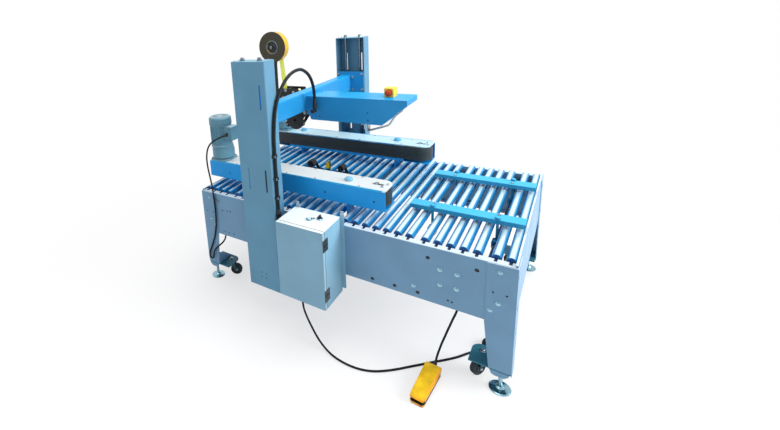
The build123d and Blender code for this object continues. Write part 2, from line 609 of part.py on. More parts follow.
head += bar_y(ELBOW_X, elbow_low, elbow_r, ELBOW_Y, -HEAD_HALF)
head += bar_z(ELBOW_X, ELBOW_Y, elbow_r, elbow_low, ELBOW_Z)
head += Pos(ELBOW_X, ELBOW_Y, elbow_low) * Sphere(elbow_r)
parts["head_body"] = head

slope = (nose_knee[0] - nose_foot[0], nose_knee[1] - nose_foot[1])
pad0 = (nose_foot[0] + 0.82 * slope[0], nose_foot[1] + 0.82 * slope[1])
pad1 = (nose_foot[0] + 0.42 * slope[0], nose_foot[1] + 0.42 * slope[1])
skid_tail = 34.0
skid_path = [pad0, pad1, (150, head_low - 15), (122, head_low - 27), (skid_tail, head_low - 59),
             (skid_tail, head_low)]
skid_line = Polyline(*skid_path)
skid = extrude(Plane.XZ.offset(-SKID_W / 2) * make_face(offset(skid_line, SKID_T, side=Side.LEFT)),
               amount=SKID_W)
skid_tab = block(skid_tail - 10, skid_tail + 10, -HEAD_HALF, HEAD_HALF, head_low - SKID_T, head_low)
parts["pressure_skid"] = skid + skid_tab

# ---------------------------------------------------------------- emergency stop
estop_face = ESTOP_Y - ESTOP_W / 2
case = block(ESTOP_X - ESTOP_W / 2, ESTOP_X + ESTOP_W / 2, estop_face, ESTOP_Y + ESTOP_W / 2,
             HEAD_TOP, HEAD_TOP + ESTOP_H)
case = fillet(case.edges().filter_by(Axis.Z), 6)
case = fillet(case.edges().sort_by(Axis.Z)[-1], 1.5)
estop_z = HEAD_TOP + ESTOP_H / 2
case += bar_y(ESTOP_X, estop_z, 15, estop_face - 3, estop_face + 1)
case -= bar_y(ESTOP_X, estop_z, 8 + RUNNING, estop_face - 4, ESTOP_Y)
parts["estop_box"] = case
PRESS = 5.0
button = bar_y(ESTOP_X, estop_z, 8, estop_face - 10 - PRESS, ESTOP_Y - 6 - PRESS)
dish = revolve(make_face(Polyline((0, 0), (16, 0), (19, 3), (19, 7), (13, 12), (0, 14), close=True)),
               Axis.Y)
button += Pos(ESTOP_X, estop_face - 3.4 - PRESS, estop_z) * (Rot(0, 0, 180) * dish)
parts["estop_button"] = button

# ---------------------------------------------------------------- tape heads
plate_in_y = CASSETTE_Y - THIN


def cassette(outline_points, pins, ties, extra):
    """Two side plates joined by pivot pins and tie bars."""
    body = side_profile(outline_points, -CASSETTE_Y, -plate_in_y, 5)
    body += side_profile(outline_points, plate_in_y, CASSETTE_Y, 5)
    for (x, z) in pins:
        body += bar_y(x, z, PIN_D / 2, -CASSETTE_Y, CASSETTE_Y)
    for (x, z, r, reach) in ties:
        body += bar_y(x, z, r, -reach, reach)
    return body + extra


def roller_arm(pin, end, r_roll, face=26.0):
    """Pair of arm plates on a bushed hub with the wipe-down roller between their ends."""
    arm = bar_y(*pin, PIN_D / 2 + 5, -ARM_Y, ARM_Y)
    for y in (-ARM_Y, ARM_Y - ARM_SHEET):
        arm += arm_plate(pin, end, PIN_D / 2 + 6, 9, y, y + ARM_SHEET)
    arm += bar_y(*end, 5, -ARM_Y, ARM_Y)
    arm += bar_y(*end, r_roll, -face, face)
    return arm - bar_y(*pin, PIN_D / 2 + RUNNING, -ARM_Y - 1, ARM_Y + 1)


hub_y = 30.0
mast_t = 6.0


def mast(points, centre, radius):
    """Flat arm that carries a tape roll, with its spindle."""
    arm = side_profile(points, hub_y, hub_y + mast_t)
    arm += bar_y(*centre, radius, hub_y, hub_y + mast_t)
    return arm + bar_y(*centre, SPINDLE_D / 2, -hub_y - 6, hub_y)


beam_left = BEAM_X - BEAM_W
upper_outline = [(-604, 1122), (-575, 1192), (beam_left - 6, 1192), (beam_left - 6, BEAM_Z - 5),
                 (UP_FRONT_PIN[0] + 22, BEAM_Z - 5), (UP_FRONT_PIN[0] + 22, 1028),
                 (UP_FRONT_PIN[0] - 4, 1010), (-590, 1010), (-604, 1030)]
ux, uz = UP_TAPE
upper_mast = mast([(-640, 1070), (-572, 1070), (-572, 1112), (-606, 1126), (-604, 1340),
                   (ux + 20, uz), (ux - 20, uz), (-640, 1350)], UP_TAPE, 26)
upper_mast += block(-600, -576, hub_y + mast_t, plate_in_y, 1074, 1108)
upper_mount = block(beam_left - 6, beam_left, -60, 60, BEAM_Z + 8, BEAM_Z + BEAM_H - 8)
parts["upper_tape_frame"] = cassette(
    upper_outline, (UP_FRONT_PIN, UP_REAR_PIN),
    ((-585, 1050, 6, CASSETTE_Y), (-541, 1125, 7, CASSETTE_Y), (-442, 1168, 8, CASSETTE_Y),
     (-500, 1180, 5, CASSETTE_Y)), upper_mount + upper_mast)
parts["upper_front_arm"] = roller_arm(UP_FRONT_PIN, UP_FRONT_ROLL, UP_ROLL_R)
parts["upper_rear_arm"] = roller_arm(UP_REAR_PIN, UP_REAR_ROLL, UP_ROLL_R)

low_x0 = member_x[1] + MEMBER_W / 2 + 3
low_x1 = member_x[0] - MEMBER_W / 2 - 3
lower_outline = [(low_x0, 478), (low_x1, 478), (low_x1, member_top + 4), (low_x1 + 16, member_top + 4),
                 (low_x1 + 16, 612), (low_x1 + 4, BED_TOP + 6), (low_x0, BED_TOP + 6)]
lx, lz = low_tape
lower_mast = mast([(lx - 26, 500), (lx + 26, 500), (lx + 20, lz), (lx - 20, lz)], low_tape, 26)
lower_mast += block(lx - 22, lx + 22, hub_y + mast_t, plate_in_y, 482, 498)
parts["lower_tape_frame"] = cassette(
    lower_outline, (low_front_pin, low_rear_pin, low_knife_pin),
    ((low_x0 + 15, member_z + 20, 7, HEAD_RAIL_Y), (low_x1 - 15, member_z + 20, 7, HEAD_RAIL_Y),
     (head_x + 92.5, 500, 7, CASSETTE_Y)), lower_mast)
parts["lower_front_arm"] = roller_arm(low_front_pin, low_front_roll, LOW_ROLL_R - 1)
parts["lower_rear_arm"] = roller_arm(low_rear_pin, low_rear_roll, LOW_ROLL_R + 2)
knife = bar_y(*low_knife_pin, PIN_D / 2 + 4, -14, 14)
knife += arm_plate(low_knife_pin, low_knife_tip, PIN_D / 2 + 4, 6, -12, 12)
parts["lower_knife_arm"] = knife - bar_y(*low_knife_pin, PIN_D / 2 + RUNNING, -15, 15)


def tape_roll(centre):
    """Tape on its core and hub, with a side flange towards the operator."""
    bore = SPINDLE_D / 2 + RUNNING
    w = TAPE_W / 2
    roll = revolve(make_face(Polyline((bore, -w + 6), (CORE_R, -w + 6), (CORE_R, -w - 3),
                                      (TAPE_R + 3, -w - 3), (TAPE_R + 3, -w), (TAPE_R, -w),
                                      (TAPE_R, w), (CORE_R, w), (CORE_R, w - 6), (bore, w - 6),
                                      close=True)), Axis.Y)
    return Pos(centre[0], 0, centre[1]) * roll


parts["upper_tape_roll"] = tape_roll(UP_TAPE)
parts["lower_tape_roll"] = tape_roll(low_tape)

# ---------------------------------------------------------------- carton guide rails (near side)
rail_y0 = -RAIL_IN - RAIL_W
guide = folded(Plane.YZ.offset(RAIL_X0),
               [(-RAIL_IN, RAIL_Z - RAIL_LIP), (-RAIL_IN, RAIL_Z), (rail_y0, RAIL_Z),
                (rail_y0, RAIL_Z - RAIL_LIP)], RAIL_T, Side.LEFT, RAIL_X1 - RAIL_X0, 4)
post_y = rail_y0 + RAIL_T + POST_D / 2 + 1
for x in gap_x[:2]:
    guide += turned(x, post_y, [(0, SHAFT_Z), (POST_D / 2, SHAFT_Z), (POST_D / 2, RAIL_Z),
                                (11, RAIL_Z), (12, RAIL_Z + 3), (12, RAIL_Z + 9),
                                (9, RAIL_Z + 12), (0, RAIL_Z + 12)])
    hub = block(x - 19, x + 19, post_y - 20, post_y + 20, SHAFT_Z - 19, SHAFT_Z + 19)
    guide += fillet(hub.edges().filter_by(Axis.Y), 6)
    guide -= bar_y(x, SHAFT_Z, SHAFT_D / 2 + RUNNING, post_y - 21, post_y + 21)
parts["near_guide_rail"] = guide
parts["far_guide_rail"] = far_of(guide)

# ---------------------------------------------------------------- control box
box_back = -half_w - BACK_T
shell = block(BOX_X0, BOX_X1, BOX_FRONT, box_back, BOX_Z0, BOX_Z1)
shell = fillet(shell.edges().filter_by(Axis.Y), 4)
shell -= block(BOX_X0 + BOX_WALL, BOX_X1 - BOX_WALL, BOX_FRONT - 1, box_back - BOX_WALL,
               BOX_Z0 + BOX_WALL, BOX_Z1 - BOX_WALL)
back = block(BOX_X0 + 8, BOX_X1 + EAR_W, box_back, -half_w, BOX_Z0 + 18, BOX_Z1)
for x in (BOX_X0 + 8, BOX_X1):
    back += block(x, x + EAR_W, box_back, -half_w, BOX_Z1 - 10, BOX_Z1 + EAR_H)
shell += fillet(back.edges().filter_by(Axis.Y), 4)
panel = block(BOX_X0 + 16, BOX_X1 - 16, box_back - 22, box_back - 19, BOX_Z0 + 20, BOX_Z1 - 34)
shell += panel
for x in (BOX_X0 + 30, BOX_X1 - 30):
    for z in (BOX_Z0 + 34, BOX_Z1 - 48):
        shell += bar_y(x, z, 5, box_back - 19, box_back - BOX_WALL)
BUTTON_AT = (-19.0, BOX_FRONT + 76.0)
SELECT_AT = (24.0, BOX_FRONT + 105.0)
bezel_h = 4.0
for (x, y), r in ((BUTTON_AT, BUTTON_D / 2), (SELECT_AT, 4.0)):
    shell += bar_z(x, y, 15, BOX_Z1 - 1, BOX_Z1 + bezel_h)
    shell += bar_z(x, y, 13, BOX_Z1 - 22, BOX_Z1 - 1)
    shell -= bar_z(x, y, r + RUNNING, BOX_Z1 - 20, BOX_Z1 + bezel_h + 1)
GLAND_AT = (-60.0, BOX_FRONT + 34.0)
GLAND_LEN = 16.0
shell += bar_z(*GLAND_AT, 11, BOX_Z0 - GLAND_LEN, BOX_Z0 + 1)
shell += bar_x(CONDUIT_Y, ELBOW_LOW, elbow_r, conduit_x, BOX_X0 + 1)
shell += bar_z(conduit_x, CONDUIT_Y, elbow_r, ELBOW_LOW, ELBOW_LOW + ELBOW_H)
shell += Pos(conduit_x, CONDUIT_Y, ELBOW_LOW) * Sphere(elbow_r)
hinge_x = BOX_X0 - HINGE_D / 2 - 1
hinge_y = BOX_FRONT - AIR / 2
knuckle_z = (BOX_Z0 + 60, BOX_Z1 - 100)
KNUCKLE = 22.0
pin_r = 2.0
for z in knuckle_z:
    shell += bar_z(hinge_x, hinge_y, HINGE_D / 2, z, z + KNUCKLE)
    shell += block(hinge_x, BOX_X0 + BOX_WALL, hinge_y + 1, hinge_y + 14, z, z + KNUCKLE)
    shell += bar_z(hinge_x, hinge_y, pin_r, z, z + 2 * KNUCKLE - 1)
latch_r = 3.0
shell -= [bar_x(LATCH_Y, z, latch_r + RUNNING, BOX_X1 - BOX_WALL - 1, BOX_X1 + 1) for z in LATCH_Z]
parts["control_box"] = shell

door_back = BOX_FRONT - AIR
door = block(BOX_X0, BOX_X1, BOX_FRONT - DOOR_D, door_back, BOX_Z0, BOX_Z1)
door = fillet(door.edges().filter_by(Axis.Y), 4)
door = fillet(door.faces().sort_by(Axis.Y)[0].edges(), 2)
door -= block(BOX_X0 + BOX_WALL, BOX_X1 - BOX_WALL, BOX_FRONT - DOOR_D + BOX_WALL, door_back + 1,
              BOX_Z0 + BOX_WALL, BOX_Z1 - BOX_WALL)
for z in knuckle_z:
    z0 = z + KNUCKLE + 0.5
    barrel = bar_z(hinge_x, hinge_y, HINGE_D / 2, z0, z0 + KNUCKLE)
    barrel += block(hinge_x, BOX_X0 + BOX_WALL, hinge_y - 14, hinge_y - 1, z0, z0 + KNUCKLE)
    door += barrel - bar_z(hinge_x, hinge_y, pin_r + RUNNING, z0 - 1, z0 + KNUCKLE + 1)
parts["control_box_door"] = door

for name, z in zip(("lower_door_latch", "upper_door_latch"), LATCH_Z):
    x0 = BOX_X1 + AIR
    latch = bar_x(LATCH_Y, z, 9, x0, x0 + 6)
    wing = block(x0, x0 + 6, LATCH_Y - 24, LATCH_Y, z - 7, z + 7)
    latch += fillet(wing.edges().filter_by(Axis.X).sort_by(Axis.Y)[:2], 5)
    parts[name] = latch + bar_x(LATCH_Y, z, latch_r, BOX_X1 - BOX_WALL - 6, x0)

TRAVEL = 3.0
bezel_top = BOX_Z1 + bezel_h
bx, by = BUTTON_AT
parts["start_button"] = bar_z(bx, by, BUTTON_D / 2, BOX_Z1 - 20 + TRAVEL + 1, bezel_top + TRAVEL + 2)
sx, sy = SELECT_AT
knob = bar_z(sx, sy, 11, bezel_top + AIR, bezel_top + 7)
knob += fillet(block(sx - 3.5, sx + 3.5, sy - 11, sy + 11, bezel_top + 6, bezel_top + 16)
               .edges().filter_by(Axis.Z), 2)
parts["selector_knob"] = knob + bar_z(sx, sy, 4, BOX_Z1 - 18, bezel_top + 1)

# ---------------------------------------------------------------- foot switch
hx, hy = SWITCH_HEEL
tx, ty = SWITCH_TOE
switch_len = hypot(tx - hx, ty - hy)
heading = degrees(atan2(ty - hy, tx - hx))
switch_at = Pos(hx, hy, 0) * Rot(0, 0, heading)
BASE_H = 10.0
half_s = SWITCH_W / 2


def plan_wedge(inset):
    """Prism over the plan of the foot switch, which narrows to the toe."""
    heel_half, toe_half = SWITCH_W / 2 - inset, SWITCH_TOE_W / 2 - inset
    plan = Polyline((0, -heel_half), (switch_len, -toe_half), (switch_len, toe_half),
                    (0, heel_half), close=True)
    return Pos(0, 0, -1) * extrude(make_face(plan), amount=61)


base = block(0, switch_len, -half_s, half_s, 0, BASE_H) & plan_wedge(0)
base = fillet(base.edges().filter_by(Axis.Z, tolerance=0.1), 12)
heel = block(0, 30, -half_s + 8, half_s - 8, BASE_H - 1, 34)
base += fillet(heel.edges().filter_by(Axis.Z), 4)
PEDAL_PIN = (17.0, 24.0)
base += bar_y(*PEDAL_PIN, 3, -half_s + 1, half_s - 1)
base += Pos(8, 0, 10) * Rot(0, -45, 0) * Cone(BOSS_R + 2.5, BOSS_R, BOSS_LEN,
                                              align=(Align.CENTER, Align.CENTER, Align.MIN))
parts["foot_switch_base"] = switch_at * base
pedal_out = [(-1, 40), (30, 49), (switch_len - 16, 40), (switch_len - 3, 33), (switch_len - 3, 27),
             (34, 15), (2, 15), (-1, 28)]
pedal = side_profile(pedal_out, -half_s, half_s) & Pos(-1, 0, 0) * plan_wedge(0)
pedal = fillet(pedal.edges().filter_by(Axis.Y).sort_by(Axis.Z)[-4:], 5)
cavity = [(-6, 10), (-6, 35.5), (30, 44), (switch_len - 18, 35), (switch_len - 9, 26),
          (switch_len - 9, 10)]
pedal -= side_profile(cavity, -half_s, half_s) & Pos(-8, 0, 0) * plan_wedge(4)
pedal -= bar_y(*PEDAL_PIN, 3 + RUNNING, -half_s - 1, half_s + 1)
parts["foot_pedal"] = switch_at * pedal

# ---------------------------------------------------------------- leads
floor_z = MAINS_D / 2 + 0.2
mains_points = [(*GLAND_AT, BOX_Z0 - GLAND_LEN), (*GLAND_AT, 190), (-53, -700, 155),
                (-29, -708, 115), (3, -718, 75), (38, -730, 40), (80, -745, 17),
                (130, -762, floor_z + 1), (184, -773, floor_z), (240, -775, floor_z),
                (293, -765, floor_z), (342, -742, floor_z), (388, -705, floor_z),
                (430, -664, floor_z), (470, -620, floor_z), (511, -577, floor_z),
                (551, -534, floor_z), (592, -492, floor_z), (632, -446, floor_z),
                (660, -403, floor_z), (686, -366, floor_z),
                (COIL_X - 50.2, COIL_Y - 38.5, floor_z)]
parts["mains_lead"] = tube("mains_lead", mains_points, MAINS_D)
coil = turned(COIL_X, COIL_Y, [(COIL_BORE, 4), (COIL_BORE + 4, 0), (COIL_R - 4, 0), (COIL_R, 4),
                               (COIL_R, COIL_H - 5), (COIL_R - 5, COIL_H), (COIL_BORE + 5, COIL_H),
                               (COIL_BORE, COIL_H - 5)])
parts["mains_coil"] = coil
plug_y = COIL_Y + COIL_R
plug = block(-17, 17, 12, 56, 0, 26)
plug = fillet(plug.edges().filter_by(Axis.Y), 6)
plug += bar_y(0, 11, 5.5, 0, 14)
plug += [bar_y(dx, 13, 2.4, 55, 74) for dx in (-9.5, 9.5)]
parts["mains_plug"] = Pos(COIL_X + 6, plug_y, 0) * plug

heel_dir = Vector(hx - tx, hy - ty, 0).normalized()
boss_run = BOSS_LEN * sin(radians(45))
boss_end = Vector(hx, hy, 0) + heel_dir * (boss_run - 8) + Vector(0, 0, boss_run + 10)
switch_points = [boss_end, boss_end + heel_dir * 21 + Vector(0, 0, 21), (570, -540, 91),
                 (578, -538, 125), (590, -537, 166), (601, -538, 206), (611, -538, 240),
                 (620, -534, 271), (629, -525, 297), (635, -518, 321), (635, -518, TRUNK_Z0)]
parts["foot_switch_cord"] = tube("foot_switch_cord", switch_points, SWITCH_LEAD_D)

lead_y = -MOTOR_Y - 47
motor_points = [(gland_x, lead_y, GLAND_Z), (gland_x, lead_y - 40, GLAND_Z),
                (gland_x - 15, lead_y - 77, GLAND_Z - 7), (-756, -527, 935), (-783, -531, 900),
                (-798, -531, 859), (-801, -534, 817), (-791, -542, 774), (-773, -553, 732),
                (-756, -562, 688), (-747, -566, 640), (-744, -567, 587), (-743, -566, 532),
                (-744, -566, 477), (-748, -566, 424), (-757, -566, 372), (-770, -566, 324),
                (-785, -566, 284), (-800, -566, 247), (-813, -566, 216), (-823, -567, 190),
                (-828, -568, 170), (-822, -570, 155), (-805, -572, 157), (-799, -574, 176),
                (-790, -574, 202), (-772, -573, 226), (-753, -565, 246), (-736, -551, 262),
                (-723, -532, 281), (-720, -516, 311), (-720, -516, TRUNK_Z0)]
parts["near_motor_lead"] = tube("near_motor_lead", motor_points, MOTOR_LEAD_D)

conduit_points = [(conduit_x, CONDUIT_Y, ELBOW_LOW + ELBOW_H), (conduit_x, CONDUIT_Y, 1010),
                  (conduit_x + 0.4, -624, 1100), (conduit_x + 1, -606, 1190), (-212, -570, 1258),
                  (-210, -508, 1325), (-208, -432, 1362), (-206, -350, 1368), (-209, -296, 1350),
                  (-214, -240, 1318), (-228, -186, 1275), (-246, -138, 1230),
                  (ELBOW_X, ELBOW_Y, ELBOW_Z + 60), (ELBOW_X, ELBOW_Y, ELBOW_Z)]
parts["head_conduit"] = tube("head_conduit", conduit_points, CONDUIT_D)

# ---------------------------------------------------------------- write the nodes
for name, shape in parts.items():
    export_step(shape, f"parts/{name}.step")
print(len(parts), "nodes")
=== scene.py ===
import bpy
import bmesh
from math import cos, pi, radians, sin
from mathutils import Matrix, Vector


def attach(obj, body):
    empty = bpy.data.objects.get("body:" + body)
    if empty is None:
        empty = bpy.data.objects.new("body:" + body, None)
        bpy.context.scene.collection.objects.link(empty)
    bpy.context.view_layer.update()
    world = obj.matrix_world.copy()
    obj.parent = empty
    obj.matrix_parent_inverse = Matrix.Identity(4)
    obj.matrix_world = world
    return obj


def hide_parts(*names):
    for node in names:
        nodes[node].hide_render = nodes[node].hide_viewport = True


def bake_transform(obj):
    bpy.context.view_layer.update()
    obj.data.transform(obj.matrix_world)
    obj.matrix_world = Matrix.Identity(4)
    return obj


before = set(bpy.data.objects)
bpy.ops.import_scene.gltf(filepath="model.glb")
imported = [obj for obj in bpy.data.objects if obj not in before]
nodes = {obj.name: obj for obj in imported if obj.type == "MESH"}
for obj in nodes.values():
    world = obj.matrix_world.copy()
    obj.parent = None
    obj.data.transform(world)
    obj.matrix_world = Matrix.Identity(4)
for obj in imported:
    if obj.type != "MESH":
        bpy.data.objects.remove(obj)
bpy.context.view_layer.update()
scene = bpy.context.scene
scene.view_settings.view_transform = "Standard"
# Points and lengths are in millimetres where nothing else is said.  +X is towards the infeed, -Y
# towards the near side, and s is the side: -1 for near, 1 for far.
MM = 0.001
UP, DOWN, TO_FAR, TO_NEAR, TO_INFEED = (0, 0, 1), (0, 0, -1), (0, 1, 0), (0, -1, 0), (1, 0, 0)
BOTH = (-1, 1)
SIDES = (("near", -1), ("far", 1))

# ------------------------------------------------------------------ camera
# solved from the corners of bed and columns in the photograph; FOCAL and CENTRE are in its pixels
SENSOR = 36.0
WIDTH, HEIGHT, FOCAL, CENTRE = 780, 430, 427.362, (231.414, 120.389)
AXES = ((0.77311255, 0.62742993, -0.09289064),      # right
        (0.08028408, -0.24207854, -0.96692939),     # down
        (-0.62916727, 0.74008761, -0.23752659))     # forward
EYE = (0.987107, -2.362485, 1.682636)
cam_data = bpy.data.cameras.new("camera")
cam = bpy.data.objects.new("camera", cam_data)
scene.collection.objects.link(cam)
scene.camera = cam
cam_data.sensor_width = SENSOR
cam_data.lens = SENSOR * FOCAL / WIDTH
cam_data.shift_x = (WIDTH / 2 - CENTRE[0]) / WIDTH
cam_data.shift_y = (CENTRE[1] - HEIGHT / 2) / WIDTH
right, down, ahead = (Vector(a) for a in AXES)
cam.matrix_world = Matrix.Translation(EYE) @ Matrix((right, -down, -ahead)).transposed().to_4x4()


# ------------------------------------------------------------------ materials
def math_node(tree, operation, *values):
    """A Math node's output; each value is a number or a socket to link."""
    node = tree.nodes.new("ShaderNodeMath")
    node.operation = operation
    for socket, v in zip(node.inputs, values):
        if isinstance(v, bpy.types.NodeSocket):
            tree.links.new(v, socket)
        else:
            socket.default_value = v
    return node.outputs[0]


def remap(tree, value, start, end, low, high, kind="LINEAR"):
    """A Map Range node's output: start to end becomes low to high."""
    node = tree.nodes.new("ShaderNodeMapRange")
    node.interpolation_type = kind
    for key, v in zip(("From Min", "From Max", "To Min", "To Max"), (start, end, low, high)):
        node.inputs[key].default_value = v
    tree.links.new(value, node.inputs["Value"])
    return node.outputs["Result"]


def material(name, color, rough=0.45, metal=0.0, vary=0.06, cloud=7.0, grain=900.0, bump=0.05,
             painted_upward_light=None, streak=None, ring=None, wear=None, spec=0.35, crown=None, zones=()):
    """Procedural finish: clouded colour, fine grain in the bump and an uneven gloss.

    vary and cloud are the clouds' contrast and scale, and streak stretches them.  top paints light
    on what faces up, a painted top light, crown paints a highlight on the upward line of a tube,
    wear makes scuffed spots, and ring is the scale and strength of rings round Y.  Each zone (axis,
    low, high, colour) colours a band of the piece, in metres and on both sides of zero."""
    m = bpy.data.materials.new(name)
    m.use_nodes = True
    tree = m.node_tree
    add, link = tree.nodes.new, tree.links.new
    bsdf = tree.nodes["Principled BSDF"]
    bsdf.inputs["Metallic"].default_value = metal
    bsdf.inputs["Specular IOR Level"].default_value = spec
    where = add("ShaderNodeTexCoord").outputs["Object"]

    def noise(scale, detail, stretch=None):
        texture = add("ShaderNodeTexNoise")
        texture.inputs["Scale"].default_value = scale
        texture.inputs["Detail"].default_value = detail
        at = where
        if stretch:
            mapping = add("ShaderNodeMapping")
            mapping.inputs["Scale"].default_value = stretch
            link(where, mapping.inputs["Vector"])
            at = mapping.outputs["Vector"]
        link(at, texture.inputs["Vector"])
        return texture.outputs["Fac"]

    def mix(share, a, b):
        node = add("ShaderNodeMix")
        node.data_type = "RGBA"
        link(share, node.inputs["Factor"])
        for socket, v in zip(node.inputs[6:8], (a, b)):
            if isinstance(v, tuple):
                socket.default_value = (*v, 1)
            else:
                link(v, socket)
        return node.outputs[2]

    def apart(vector):
        node = add("ShaderNodeSeparateXYZ")
        link(vector, node.inputs["Vector"])
        return node.outputs

    clouds = noise(cloud, 4.0, streak)
    patches = remap(tree, clouds, 0.3, 0.7, 0, 1)
    low, high = (tuple(min(1.0, c * (1 + k)) for c in color) for k in (-vary, vary))
    base = mix(patches, low, high)
    if ring:
        scale, strength = ring
        wave = add("ShaderNodeTexWave")
        wave.wave_type, wave.rings_direction = "RINGS", "Y"
        wave.inputs["Scale"].default_value = scale
        wave.inputs["Distortion"].default_value = 1.0
        link(where, wave.inputs["Vector"])
        base = mix(remap(tree, wave.outputs["Fac"], 0, 1, 0, strength), base, low)
    if painted_upward_light or crown:
        facing = apart(add("ShaderNodeNewGeometry").outputs["Normal"])["Z"]
    # faces turned up take the lighter colour given for them: painted light from above
    if painted_upward_light:
        painted_upward_light_low = tuple(c * (1 - vary) for c in painted_upward_light)
        base = mix(remap(tree, facing, 0.6, 0.95, 0, 1), base, mix(patches, painted_upward_light_low, painted_upward_light))
    if crown:
        # the upward line of a tube takes a pale colour: a painted highlight
        base = mix(remap(tree, facing, 0.78, 0.96, 0, 1), base, crown)
    if wear:
        base = mix(remap(tree, noise(34.0, 8.0), 0.66, 0.74, 0, 0.55), base, wear)
    for axis, near, far, zone_color in zones:
        reach = math_node(tree, "ABSOLUTE", apart(where)[axis])
        inside = math_node(tree, "MULTIPLY", math_node(tree, "GREATER_THAN", reach, near),
                           math_node(tree, "LESS_THAN", reach, far))
        base = mix(inside, base, zone_color)
    link(base, bsdf.inputs["Base Color"])
    link(remap(tree, clouds, 0.3, 0.7, rough - 0.07, rough + 0.09), bsdf.inputs["Roughness"])
    relief = add("ShaderNodeBump")
    relief.inputs["Strength"].default_value = bump
    relief.inputs["Distance"].default_value = 0.001
    link(noise(grain, 2.0, streak), relief.inputs["Height"])
    link(relief.outputs["Normal"], bsdf.inputs["Normal"])
    return m


